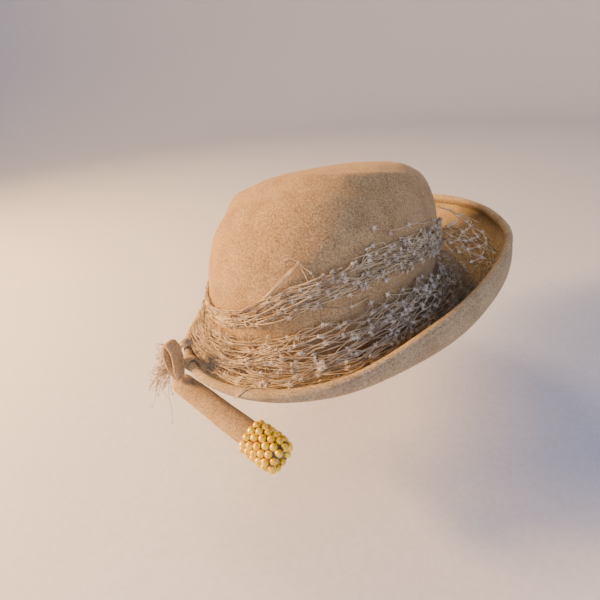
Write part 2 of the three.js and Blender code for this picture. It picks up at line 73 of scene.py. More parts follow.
# Crown
CROWN_HEIGHT = 94.0
CROWN_LEFT_LIFT = 11.5
CROWN_FRONT_LIFT = 12.0
CROWN_LEAN_LEFT = 7.6
CROWN_LEAN_BACK = 3.4
CROWN_FOOT = BRIM_FELT + SEAM

# Brim
BRIM_WIDTH = 60.0
BRIM_RISE = 41.0
BRIM_DIP = 15.0
BRIM_SWELL = 12.0
BRIM_TROUGH = 0.5
BRIM_BULGE = 0.12
BRIM_FULL_WALL = 0.9
ROLL_RADIUS = 2.8
ROLL_SWELL = 0.6
FOLD_DEPTH = 8.0
FOLD_FELT = 1.6
HEM_BEND = 0.8
# The turns, in radians, between which the edge is rolled, and the crease where the roll meets the
# outer face: its depth, and how far past the roll the crease and the plain face begin
ROLL_START = math.pi + 0.25
ROLL_END = -0.85
CREASE_DEPTH = 0.42
CREASE_PAST = 2.5
FACE_PAST = 3.5

# Net
VEIL_SAG = 14.0
VEIL_STEP = 0.2
TAIL_LENGTH = 21.0
TAIL_ANGLE = math.radians(242)
TAIL_THREADS = 120
# How far the tail's threads stray, as shares of its length: in the rope, at the ends, and between
TAIL_SPREAD = {"rope": (0.03, 0.05, 0.045), "end": (0.12, 0.14, 0.15), "bend": 0.12, "curl": 0.08}
TAIL_LONG_SPREAD = {"rope": 0.03, "curl": 0.05}
# Frizz: how many short ends in each band, the angle where they are thickest, their spread and reach
FRIZZ = {"upper": 110, "lower": 170, "angle": 255, "spread": 11, "reach": (2, 9)}
# How far the net's lowest threads lie off the felt, in the upper band and at the lower band's ends
UPPER_CLEAR = 0.5
LOWER_CROWN_CLEAR = 0.6
LOWER_BRIM_CLEAR = 0.8
# The first row of the net's cells, and what all the rows cover, as shares of a band's width
FIRST_ROW = 0.03
ROWS_REACH = 0.92
# Knots are full for so many degrees to each side of this angle, and shrink over so many more
KNOTS_FULLEST = 352
KNOTS_EVEN = 58
KNOTS_FADE = 22
# Strands drawn together in each fold of the lower band: how many, how far apart, how often they meet
FOLD_STRANDS = 4
FOLD_GAP = 0.045
FOLD_WAVES = 22
# Where the net across the trough hangs between: share of the way up the crown, and up the brim
SPAN_CROWN = 0.33
SPAN_BRIM = 0.82

# Half thickness of threads, with the loose ends of knots and of the tail from root to tip
FOLD_THREAD = 0.3
FRIZZ_THREAD = 0.18
STRAY_THREAD = 0.32
STRAY_STEPS = 30
SQUARE_THREAD = 0.3
KNOT_ENDS = np.array([0.26, 0.22, 0.13])
TAIL_THREAD = (0.3, 0.17)

# A knot's parts as shares of its size: half the square of thread, how far its corners stand out, its
# height, how skew it lies, and the core's height. In pairs, the least and most: how uneven squares
# and cores are, and how far the loose ends reach out and rise
KNOT = {
    "half": 0.46,
    "corner": 0.2,
    "height": 0.12,
    "skew": 0.16,
    "core_height": 0.15,
    "uneven": (0.8, 1.25),
    "lumpy": (0.6, 1.25),
    "reach": (0.55, 1.2),
    "rise": (0.1, 0.75),
}
LOOSE_ENDS = 5
# Sizes of knots where they are fullest and where they are least, in the bands and in the drawn folds
BAND_KNOTS = (2.0, 0.85)
FOLD_KNOTS = (1.9, 0.85)

# Stitches of the hem: one for each step, the share of it that shows, how far over the hem's edge
# they lie, half their thickness, and how they rise out of the felt from end to end
STITCH_STEP = 4.0
STITCH_SHARE = 0.62
STITCH_ABOVE = 1.9
STITCH_THREAD = 0.32
STITCH_LIFT = [-0.2, 0.14, 0.2, 0.14, -0.2]

# Loop and strap
LOOP_HEIGHT = 30.0
LOOP_WIDTH = 10.3
LOOP_STRIP = 9.0
LOOP_FELT = 2.8
LOOP_PINCH = 0.25
LOOP_GATHER = 0.55
LOOP_DROP = 10.7
LOOP_SIDE = 0.7
# Folds that run up from the loop's pinched foot: their depth, and the shares of its height between
# which they fade out
LOOP_FOLDS = {"depth": 0.9, "low": 0.3, "high": 0.9}
# The felt loop gives, so it hangs turned a little towards the front
LOOP_TWIST = math.radians(22)
STRAP_WIDTH = 7.0
STRAP_FELT = 1.6
STRAP_TAIL = 8.0
STRAP_ANGLE = math.radians(251.5)

# Quill
QUILL_LENGTH = 89.0
QUILL_TOP_RADIUS = 7.3
QUILL_END_RADIUS = 8.6
QUILL_WALL = 2.0
QUILL_GRIP = 8.4
QUILL_OUT = -3.0
QUILL_TURN = math.radians(-3.7)
QUILL_DROOP = math.radians(14.5)
QUILL_ROWS = 90
QUILL_BORE_ROWS = 60
# The lap where the rolled felt ends: how far it steps out, and where it lies round the quill
QUILL_LAP = 0.5
QUILL_LAP_TURN = 2.2

# Pearls
PEARL_RADIUS = 2.5
PEARL_SINK = 0.5
PEARLS_ROUND = 12
PEARLS_LAST_ROW = 10
CUFF_WALL = 1.2
# Rows of pearls, with the open end last: how far out each sits, as a share of the sleeve's radius
CUFF_ROWS = [0.98, 1, 1.02, 1.02, 1, 0.86]

# Stage: how far the floor lies under the hat, how far it runs flat, its bend, and its wall's height
COVE_DROP = 60.0
COVE_FLOOR = 1500.0
COVE_BEND = 700.0
COVE_WALL = 3100.0

# Camera: where it stands, the angles round the hat and above it that it looks from, its lean, and
# its lens and the width of its picture in millimetres
CAMERA_PLACE = (163.6, -263.57, 167.49)
CAMERA_ANGLE = math.radians(-54.452)
CAMERA_RISE = math.radians(29.302)
CAMERA_LEAN = math.radians(-5.591)
CAMERA_LENS = 27
CAMERA_FILM = 36

# Rows and columns of points on the crown and the brim. The crown's rows stop short of its tip,
# at this share of the way up, and a fan of faces closes it
CROWN_COLUMNS = 288
CROWN_ROWS = 132
CROWN_TIP = 0.994
BRIM_COLUMNS = 400
BRIM_ROWS = {"inner": 44, "hem": 6, "roll": 30, "outer": 46}

# Unevenness of felt worked by hand: how far it goes in and out, and how wide each swell is
CROWN_UNEVEN = [(0.8, 34), (0.35, 11)]
BRIM_UNEVEN_OUT = (1.0, 46)
BRIM_UNEVEN_UP = (0.9, 38)
QUILL_UNEVEN = [(0.45, 24), (0.12, 5)]
LOOP_UNEVEN = (0.7, 7)
STRAP_UNEVEN = (0.3, 5)

# The crown's profile from foot to tip: height and width as shares of its own
CROWN_PROFILE = {
    "height": [0, 0.2, 0.4, 0.58, 0.73, 0.85, 0.93, 0.98, 1, 1],
    "width": [1, 0.99, 0.98, 0.94, 0.87, 0.775, 0.65, 0.48, 0.26, 0],
}

# Soft dents in the crown: depth as a share of the head's half width, place and half size in
# degrees round it and in shares of the way up it
CROWN_DENTS = [
    {"angle": 272, "along": 0.52, "depth": 0.055, "reach": 26, "rise": 0.13},
    {"angle": 318, "along": 0.56, "depth": 0.03, "reach": 24, "rise": 0.1},
]

# Where the top of the crown turns down into its front: a soft edge, by angle and share of the way
# up, with the height of its ridge, the depth of the hollow below it, and its half width as a share
TOP_EDGE = {
    "angle": [215, 228, 245, 264, 277, 301, 318, 341, 369, 385],
    "along": [0.5, 0.56, 0.655, 0.712, 0.722, 0.695, 0.66, 0.608, 0.545, 0.52],
    "height": 1.5,
    "hollow": 1.3,
    "width": 0.04,
}
# Where the front turns into the left side: a softer edge that runs down to the net
SIDE_EDGE = {
    "angle": [286, 294, 301, 311, 323, 335, 348, 371],
    "along": [0.33, 0.355, 0.37, 0.388, 0.415, 0.465, 0.508, 0.545],
    "height": 0.9,
    "hollow": 1.0,
    "width": 0.045,
}
# Degrees over which a soft edge fades in and out at its ends
EDGE_FADE = 12
# A fine crease in the crown's front: its middle, the share that it climbs for each degree, its
# half sizes in degrees and in shares of the way up, and its depth
CROWN_CREASE = {"angle": 293.8, "along": 0.424, "slope": 0.0032, "reach": 3.4, "rise": 0.006, "depth": 0.45}

# The brim round the head, as shares of its greatest width, rise and dip
BRIM_ROUND = {
    "angle": [0, 30, 60, 90, 120, 150, 180, 210, 240, 270, 300, 330],
    "width": [0.71, 0.88, 1, 0.98, 0.77, 0.47, 0.27, 0.21, 0.36, 0.49, 0.58, 0.6],
    "rise": [0.9, 1, 0.95, 0.82, 0.65, 0.42, 0.17, -0.08, -0.14, 0.01, 0.29, 0.67],
    "dip": [0.2, 0.2, 0.2, 0.2, 0.25, 0.35, 0.55, 0.8, 1, 0.8, 0.45, 0.25],
}

# The upper band of net: its edges as shares of the way up the crown
VEIL_UPPER = {
    "angle": [0, 30, 90, 150, 210, 240, 258, 266, 274, 285, 292, 302, 322, 344],
    "low": [0.22, 0.19, 0.13, 0.11, 0.1, 0.075, 0.085, 0.105, 0.125, 0.165, 0.185, 0.21, 0.235, 0.23],
    "high": [0.335, 0.3, 0.235, 0.2, 0.165, 0.135, 0.15, 0.175, 0.21, 0.262, 0.285, 0.31, 0.342, 0.34],
}

# The lower band: where it leaves the crown, how far out on the brim it lands, and its sag
VEIL_LOWER = {
    "angle": [0, 30, 60, 90, 150, 190, 220, 236, 246, 258, 280, 300, 322, 343],
    "crown": [0.16, 0.12, 0.1, 0.08, 0.07, 0.075, 0.075, 0.06, 0.055, 0.06, 0.1, 0.155, 0.2, 0.195],
    "brim": [0.55, 0.66, 0.7, 0.5, 0.45, 0.8, 1, 1, 0.62, 0.52, 0.58, 0.58, 0.56, 0.55],
    "sag": [1, 1, 0.9, 0.6, 0.3, 0, -0.2, -0.05, 0, 0, 0.3, 0.7, 1, 1],
}

# Strands sprung over the crown: angle, share of the way up, height over the felt, and size of knot
CROWN_STRANDS = [
    [(274, 0.2, 0.6, 0), (279.5, 0.248, 1.2, 0), (284.5, 0.298, 1.6, 0), (290, 0.345, 1.8, 1.0)],
    [(276, 0.215, 0.8, 0), (280.5, 0.252, 1.4, 0), (285.5, 0.3, 1.8, 0), (290.4, 0.342, 2, 0)],
    [(278, 0.21, 0.5, 0), (282, 0.26, 1, 0), (286.5, 0.304, 1.4, 0), (289.6, 0.338, 1.8, 0)],
    [(290, 0.346, 1.8, 0), (291, 0.33, 1.6, 0), (292.5, 0.305, 1.4, 0), (294, 0.275, 0.8, 0)],
    [(290.4, 0.342, 2, 0), (292.5, 0.325, 1.8, 0), (294.5, 0.31, 1.4, 0.9), (296, 0.285, 0.8, 0)],
    [(284.5, 0.352, 0.8, 0), (286.5, 0.358, 1.2, 0), (288.5, 0.352, 1.6, 0), (290, 0.345, 1.8, 0)],
    [(319.5, 0.41, 1.2, 2.0), (325, 0.392, 1.4, 0), (333, 0.384, 1.8, 0), (339.5, 0.384, 2, 1.9),
     (346, 0.376, 2, 0), (355, 0.36, 2, 0), (366, 0.352, 1.8, 1.8), (374, 0.33, 1.2, 0)],
    [(327.5, 0.378, 1, 1.6), (329, 0.372, 1, 0)],
    [(349.5, 0.345, 1.8, 1.7), (345, 0.33, 1.6, 0), (341, 0.31, 1, 0)],
    [(318, 0.358, 1.4, 1.8), (315, 0.352, 1.6, 1.3), (322, 0.36, 1.4, 0), (325, 0.345, 0.9, 0)],
    [(318, 0.358, 1.4, 0), (314, 0.33, 1.4, 0), (313, 0.3, 0.8, 0)],
    [(333, 0.352, 1.4, 1.6), (338, 0.345, 1.6, 0), (344, 0.345, 1.6, 0)],
    [(305, 0.33, 1.2, 0), (312, 0.335, 2, 0), (320, 0.34, 2, 0), (330, 0.345, 1.6, 0), (340, 0.335, 1, 0)],
    [(298, 0.2, 1.6, 1.2), (303, 0.192, 2.2, 0), (309, 0.185, 2.2, 1.3), (316, 0.195, 1.2, 0)],
]
# Net that spans the trough at the wearer's left: angle, share of the way from crown to brim, and
# size of knot
SPAN_STRANDS = [
    [(59, 0.48, 1.5), (45, 0.36, 1.9), (40, 0.45, 2.1), (27, 0.56, 2.2), (25, 0.68, 2.0), (22, 0.82, 2.0)],
    [(58, 0.7, 1.6), (45, 0.58, 0), (36, 0.48, 1.9), (35, 0.65, 1.9), (32, 0.8, 0)],
    [(26, 0.2, 2.0), (22, 0.35, 2.2), (20, 0.48, 2.0), (19, 0.6, 2.1), (22, 0.8, 0)],
    [(10, 0.15, 0), (13, 0.35, 1.9), (11, 0.5, 2.1), (13, 0.68, 1.9), (16, 0.84, 1.6)],
    [(45, 0.36, 0), (34, 0.27, 1.5), (26, 0.2, 0), (18, 0.16, 1.6)],
    [(40, 0.45, 0), (36, 0.48, 0), (28, 0.4, 1.7), (22, 0.35, 0), (13, 0.35, 0)],
    [(27, 0.56, 0), (20, 0.48, 0), (16, 0.42, 1.6), (13, 0.35, 0), (6, 0.3, 1.6)],
    [(25, 0.68, 0), (19, 0.6, 0), (11, 0.5, 0), (5, 0.44, 1.7)],
    [(35, 0.65, 0), (30, 0.68, 1.5), (25, 0.68, 0), (13, 0.68, 0), (6, 0.62, 1.6)],
    [(50, 0.82, 0), (56, 0.77, 0), (58, 0.7, 0), (61, 0.58, 1.4), (59, 0.48, 0), (64, 0.28, 1.3),
     (66, 0.08, 0)],
    [(45, 0.58, 0), (52, 0.55, 0), (59, 0.48, 0), (54, 0.3, 1.4), (48, 0.14, 0)],
]
# Folds of the lower band, each a few strands drawn together: angle, and share of the way from the
# band's edge on the brim to its edge on the crown
DRAWN_FOLDS = [
    [(267, 0.03), (280, 0.12), (290, 0.22), (296, 0.4), (302, 0.53), (312, 0.67), (330, 0.78), (356, 0.84)],
    [(262, 0.3), (268, 0.42), (280, 0.58), (293, 0.49), (304, 0.47), (318, 0.48), (334, 0.54), (352, 0.56)],
    [(262, 0.35), (271, 0.48), (281, 0.74), (292, 0.82), (302, 0.8), (318, 0.77), (337, 0.82), (372, 0.86)],
    [(258, 0.05), (272, 0.07), (282, 0.13), (292, 0.26), (302, 0.38), (316, 0.46), (334, 0.4), (352, 0.34)],
    [(280, 0.05), (290, 0.1), (302, 0.2), (314, 0.28), (328, 0.24), (344, 0.2), (360, 0.2), (376, 0.24)],
]
# Strands over the front of the rim: angle, turn round the rolled edge, and height over it
RIM_STRANDS = [
    [(277.5, -0.14, 1.0), (279, 0.7, 0.6), (280.5, 1.6, 0.8), (283, 2.6, 1.2), (287, 3.1, 2.4)],
    [(276.5, -0.6, 0.8), (278, 0.4, 0.5), (279, 1.4, 0.9), (279.5, 2.6, 1.8)],
]

# The gathered end of the veil: places out from the rim, round it and up, as shares of its length.
# The rope's threads part into a fan of short ends and a few long ones
TAIL_ROPE = [(-0.45, 0.05, 0.1), (-0.17, 0.02, 0.17), (0, 0, 0.14), (0.2, -0.04, 0), (0.33, -0.08, -0.22)]
TAIL_ENDS = [
    (0.6, -0.5, -0.1), (0.85, -0.45, -0.42), (1.05, -0.3, -0.82), (1.2, -0.1, -1.22), (0.85, -0.12, -1.02),
]
TAIL_LONG_ENDS = [
    (1.51, 0.06, -1.78), (1.1, 0.6, -2.3), (1.29, -0.3, -0.99), (1.21, 0, -1.45), (0.78, 0.2, -1.5),
]

# Bands of net. Each layer has its cells round and rows across, the lean and looseness of its cells,
# its lowest and highest place over the felt, how far its threads bow, and how much its rows crowd
# towards the band's lower edge. Drawn threads run far round the band: how many, and how far in radians
UPPER_NET = {
    "layers": [
        {"cells": 40, "rows": 6, "lean": 0.2, "loose": 0.2, "low": 0.1, "high": 1.4, "bow": 0.35,
         "crowd": 1},
        {"cells": 34, "rows": 6, "lean": -0.3, "loose": 0.24, "low": 0.5, "high": 2.4, "bow": 0.4,
         "crowd": 1},
    ],
    "drawn": 90,
    "reach": 0.8,
    "thread": 0.27,
}
LOWER_NET = {
    "layers": [
        {"cells": 22, "rows": 15, "lean": 0.12, "loose": 0.2, "low": 0.0, "high": 1.2, "bow": 0.35,
         "crowd": 1.1},
        {"cells": 19, "rows": 12, "lean": 0.22, "loose": 0.24, "low": 0.4, "high": 2.6, "bow": 0.5,
         "crowd": 1.15},
    ],
    "drawn": 30,
    "reach": 0.6,
    "thread": 0.28,
}

# Lamps: place and aim in metres, width of the disk in metres, power in watts, and colour
LAMPS = [
    {"name": "key", "place": (-1.0, -0.66, 0.5), "aim": (0, -0.02, 0.03), "size": 0.34, "power": 64,
     "colour": "#ffc27a"},
    {"name": "top", "place": (-0.7, 0.25, 1.1), "aim": (0, 0, 0.05), "size": 0.4, "power": 9,
     "colour": "#ffd096"},
    {"name": "fill", "place": (1.0, -0.9, 0.6), "aim": (0, 0, 0.02), "size": 0.8, "power": 12,
     "colour": "#9cc0ff"},
]
ROOM_COLOUR = "#a2c1f5"
ROOM_STRENGTH = 0.42

scatter = np.random.default_rng(7)


# Shapes of the hat


def around(table, column, angle):
    """A column of a table with an angle in each row, read smoothly and all the way round."""
    places, values = np.array(table["angle"], float), np.array(table[column], float)
    count = len(places)
    turn = np.degrees(angle) % 360
    row = np.searchsorted(places, turn, side="right") - 1

    def place(k):
        return places[k % count] + 360 * (k // count)

    def slope(k):
        return (values[(k + 1) % count] - values[(k - 1) % count]) / (place(k + 1) - place(k - 1))

    span = place(row + 1) - place(row)
    t = (turn - place(row)) / span
    return (
        (2 * t**3 - 3 * t**2 + 1) * values[row % count]
        + (t**3 - 2 * t**2 + t) * span * slope(row)
        + (3 * t**2 - 2 * t**3) * values[(row + 1) % count]
        + (t**3 - t**2) * span * slope(row + 1)
    )


def smoothstep(value, low, high):
    """0 below low and 1 above high, with a smooth way between."""
    t = np.clip((value - low) / (high - low), 0, 1)
    return t * t * (3 - 2 * t)


def unit(vectors):
    """The vectors at a length of 1."""
    return vectors / np.maximum(np.linalg.norm(vectors, axis=-1, keepdims=True), 1e-9)


def head_radius(angle):
    """The head opening, an oval that is a little squarer than an ellipse."""
    across = np.abs(np.cos(angle)) / HEAD_HALF_WIDTH
    along = np.abs(np.sin(angle)) / HEAD_HALF_LENGTH
    return (across**HEAD_SQUARENESS + along**HEAD_SQUARENESS) ** (-1 / HEAD_SQUARENESS)


def crown_profile():
    """The crown's profile as a smooth curve: way along it, run out and height."""
    rows = np.column_stack([CROWN_PROFILE["width"], CROWN_PROFILE["height"]])
    rows = rows * [HEAD_HALF_LENGTH, CROWN_HEIGHT]
    t = np.linspace(0, 1, 60, endpoint=False)[:, None]
    pieces = []
    for k in range(len(rows) - 1):
        before, after = rows[max(k - 1, 0)], rows[min(k + 2, len(rows) - 1)]
        start, end = (rows[k + 1] - before) / 2, (after - rows[k]) / 2
        rise = rows[k + 1] - rows[k]
        pieces.append(
            rows[k] + start * t + (3 * rise - 2 * start - end) * t**2 + (start + end - 2 * rise) * t**3
        )
    curve = np.vstack([*pieces, rows[-1:]])
    way = np.concatenate([[0], np.cumsum(np.linalg.norm(np.diff(curve, axis=0), axis=1))])
    return way / way[-1], curve[:, 0], curve[:, 1]


PROFILE = crown_profile()


def crown_skin(angle, along):
    """The outside of the crown at an angle round it and a share of the way up it."""
    along = np.clip(along, 0, 1)
    run = np.interp(along, PROFILE[0], PROFILE[1])
    height = np.minimum(np.interp(along, PROFILE[0], PROFILE[2]) / CROWN_HEIGHT, 1)
    radius = head_radius(angle) * np.maximum(run, 0) / HEAD_HALF_LENGTH
    for dent in CROWN_DENTS:
        turn = (np.degrees(angle) - dent["angle"] + 180) % 360 - 180
        fade = np.exp(-((turn / dent["reach"]) ** 2) - ((along - dent["along"]) / dent["rise"]) ** 2)
        radius = radius - dent["depth"] * HEAD_HALF_WIDTH * fade * np.minimum(1, radius / HEAD_HALF_WIDTH)
    x = radius * np.cos(angle) + CROWN_LEAN_LEFT * height
    y = radius * np.sin(angle) + CROWN_LEAN_BACK * height
    top = CROWN_HEIGHT + CROWN_LEFT_LIFT * x / HEAD_HALF_WIDTH - CROWN_FRONT_LIFT * y / HEAD_HALF_LENGTH
    return np.stack([x, y, CROWN_FOOT + height * (top - CROWN_FOOT)], axis=-1)


def crown_point(angle, along, out):
    """A point at a distance out of the crown's felt, and the way out there."""
    angle, along = np.broadcast_arrays(np.asarray(angle, float), np.asarray(along, float))
    step = 0.01
    round_it = crown_skin(angle + step, along) - crown_skin(angle - step, along)
    up_it = crown_skin(angle, along + step) - crown_skin(angle, along - step)
    outward = unit(np.cross(round_it, up_it))
    near_tip = smoothstep(along, 0.86, 0.97)[..., None]
    outward = unit(outward * (1 - near_tip) + np.array([0, 0, 1.0]) * near_tip)
    return crown_skin(angle, along) + outward * np.asarray(out)[..., None], outward


def brim_curve(angle):
    """The brim's outer face in one vertical plane: way, run out, height and the way it heads."""
    foot = head_radius(angle)
    width = BRIM_WIDTH * around(BRIM_ROUND, "width", angle)
    rise = BRIM_RISE * around(BRIM_ROUND, "rise", angle)
    dip = BRIM_DIP * around(BRIM_ROUND, "dip", angle)
    wall = rise + dip
    swell = BRIM_SWELL * min(1, wall / (BRIM_FULL_WALL * BRIM_RISE))
    a, b, c, d = np.array([
        (foot - CROWN_FELT, 0),
        (foot + BRIM_TROUGH * width, -dip),
        (foot + width + swell, BRIM_BULGE * wall - dip),
        (foot + width, rise),
    ])
    t = np.linspace(0, 1, 201)[:, None]
    s = 1 - t
    curve = s**3 * a + 3 * s * s * t * b + 3 * s * t * t * c + t**3 * d
    heading = unit(s * s * (b - a) + 2 * s * t * (c - b) + t * t * (d - c))
    way = np.concatenate([[0], np.cumsum(np.linalg.norm(np.diff(curve, axis=0), axis=1))])
    return {"length": way[-1], "way": way / way[-1], "curve": curve, "heading": heading}


def along_brim(curve, share):
    """Places on the brim's outer face at shares of the way out along it, and the way it heads."""
    place = np.stack([np.interp(share, curve["way"], curve["curve"][:, k]) for k in (0, 1)], axis=-1)
    head = np.stack([np.interp(share, curve["way"], curve["heading"][:, k]) for k in (0, 1)], axis=-1)
    return place, unit(head)


def brim_point(curve, share, inward):
    """A place at a share of the way out along the brim and a distance in from its outer face."""
    place, head = along_brim(curve, share)
    side = np.stack([-head[..., 1], head[..., 0]], axis=-1)
    return place + side * np.asarray(inward)[..., None]


def roll_point(curve, turn, radius):
    """A place round the brim's rolled edge, at a turn and a distance from the middle of the roll."""
    middle, head = along_brim(curve, 1 - ROLL_RADIUS / curve["length"])
    side = np.array([-head[1], head[0]])
    inward = ROLL_RADIUS - ROLL_SWELL - radius * np.cos(turn)
    return middle + side * inward[..., None] + head * (radius * np.sin(turn))[..., None]


def fold_share(curve):
    """The share of the way out along the brim where its turned-in hem ends."""
    return 1 - FOLD_DEPTH / curve["length"]


def swing(points, angle):
    """Turns points of run and height out of their vertical plane to an angle round the hat."""
    return np.stack([points[..., 0] * np.cos(angle), points[..., 0] * np.sin(angle), points[..., 1]], -1)


def rim_axes(angle):
    """Ways round the rim, up, and out from it."""
    round_it = np.array([-math.sin(angle), math.cos(angle), 0])
    return round_it, np.array([0, 0, 1.0]), np.array([math.cos(angle), math.sin(angle), 0])


def beside_rim(angle, out, round_it, up):
    """A place at distances out, round and up from the top of the brim."""
    axes = rim_axes(angle)
    top = swing(brim_curve(angle)["curve"][-1], angle)
    return top + axes[2] * out + axes[0] * round_it + axes[1] * up


# Meshes


def add_piece(name, points, faces, material, replaced=()):
    """Makes a piece from points in millimetres and lists of corner numbers, and lets it ride."""
    mesh = bpy.data.meshes.new(name)
    points = np.asarray(points, float).reshape(-1, 3) * MM
    mesh.from_pydata(points.tolist(), [], [list(map(int, face)) for face in faces])
    mesh.validate()
    mesh.polygons.foreach_set("use_smooth", [True] * len(mesh.polygons))
    mesh.materials.append(material)
    piece = bpy.data.objects.new(name, mesh)
    bpy.context.scene.collection.objects.link(piece)
    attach(piece, "root")
    if replaced:
        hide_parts(*replaced)
    return piece


def grid_faces(rows, columns, closed_rows=False):
    """Corner numbers of a grid of points. Each row is a ring, and the last row may meet the first."""
    row = np.arange(rows if closed_rows else rows - 1)[:, None]
    column = np.arange(columns)[None, :]
    next_row, next_column = (row + 1) % rows, (column + 1) % columns
    corners = [
        row * columns + column,
        row * columns + next_column,
        next_row * columns + next_column,
        next_row * columns + column,
    ]
    return np.stack([np.broadcast_to(c, (row.size, column.size)) for c in corners], -1).reshape(-1, 4)


def softened(points, outward, depth, size):
    """Hand-made unevenness: moves points in and out by smooth noise of a given size."""
    flat, away = points.reshape(-1, 3), outward.reshape(-1, 3)
    lift = np.array([noise.noise(Vector(p / size)) for p in flat])
    return (flat + away * (depth * lift)[:, None]).reshape(points.shape)


def facing_out(points, faces):
    """The faces of a closed skin, turned so that they look outwards."""
    points, faces = np.asarray(points).reshape(-1, 3), np.asarray(faces)
    a, b, c, d = (points[faces[:, k]] for k in range(4))
    volume = np.sum(a * np.cross(b, c)) + np.sum(a * np.cross(c, d))
    return faces if volume > 0 else faces[:, ::-1]


def closed_end(ring, centre, first, turned):
    """A fan of faces that closes a ring of points with the point numbered centre."""
    count = len(ring)
    fan = [[first + i, first + (i + 1) % count, centre] for i in range(count)]
    return [face[::-1] for face in fan] if turned else fan


def tubes(paths, away, radius, sides=3):
    """Thin tubes along many paths of the same number of points. away is one way off the felt, or one
    for each point, and is never along a path."""
    paths, radius = np.asarray(paths, float), np.broadcast_to(radius, np.shape(paths)[:2])
    heading = unit(np.gradient(paths, axis=1))
    across = unit(np.cross(heading, away))
    over = np.cross(across, heading)
    turns = np.arange(sides) * TURN / sides
    ring = np.cos(turns)[:, None] * across[..., None, :] + np.sin(turns)[:, None] * over[..., None, :]
    points = paths[..., None, :] + ring * radius[..., None, None]
    count, steps = paths.shape[:2]
    one = grid_faces(steps, sides)
    faces = (one[None] + (np.arange(count) * steps * sides)[:, None, None]).reshape(-1, 4)
    return points.reshape(-1, 3), faces


def felt_strip(path, side, up, width, thickness, closed, corners=16):
    """A strip of felt with rounded edges along a path, from vectors across it and out of it."""
    turns = np.arange(corners) * TURN / corners
    wide = np.sign(np.cos(turns)) * np.abs(np.cos(turns)) ** 0.45
    thick = np.sign(np.sin(turns)) * np.abs(np.sin(turns)) ** 0.7
    width, thickness = np.broadcast_to(width, len(path)), np.broadcast_to(thickness, len(path))
    points = (
        path[:, None]
        + side[:, None] * (wide[None] * width[:, None] / 2)[..., None]
        + up[:, None] * (thick[None] * thickness[:, None] / 2)[..., None]
    )
    faces = grid_faces(len(path), corners, closed_rows=closed)
    return points, facing_out(points, faces)


def spline(points, count):
    """A smooth path through points, as a given number of points."""
    points = np.asarray(points, float)
    padded = np.vstack([2 * points[0] - points[1], points, 2 * points[-1] - points[-2]])
    t = np.linspace(0, len(points) - 1 - 1e-9, count)
    k, t = t.astype(int), (t % 1)[:, None]
    a, b, c, d = (padded[k + j] for j in range(4))
    return 0.5 * (2 * b + (c - a) * t + (2 * a - 5 * b + 4 * c - d) * t**2 + (3 * b - a - 3 * c + d) * t**3)


# Finishes


def srgb(code):
    """An sRGB hex colour as the linear colour that a shader takes."""
    parts = [int(code[k : k + 2], 16) / 255 for k in (1, 3, 5)]
    return (*[p / 12.92 if p <= 0.04045 else ((p + 0.055) / 1.055) ** 2.4 for p in parts], 1)


def add_node(tree, kind, inputs=None, steps=(), **settings):
    """Adds a node, with its settings, values or links for its inputs, and the steps of its colours."""
    made = tree.nodes.new(kind)
    for name, value in settings.items():
        setattr(made, name, value)
    for name, value in (inputs or {}).items():
        if isinstance(value, bpy.types.NodeSocket):
            tree.links.new(value, made.inputs[name])
        else:
            made.inputs[name].default_value = value
    elements = made.color_ramp.elements if steps else []
    while len(elements) < len(steps):
        elements.new(0.5)
    for element, (at, code) in zip(elements, steps):
        element.position, element.color = at, srgb(code)
    return made


def new_material(name):
    """An empty material, its nodes, and a place on the object in metres for its patterns."""
    material = bpy.data.materials.new(name)
    material.use_nodes = True
    tree = material.node_tree
    tree.nodes.clear()
    place = add_node(tree, "ShaderNodeTexCoord").outputs["Object"]
    return material, tree, place


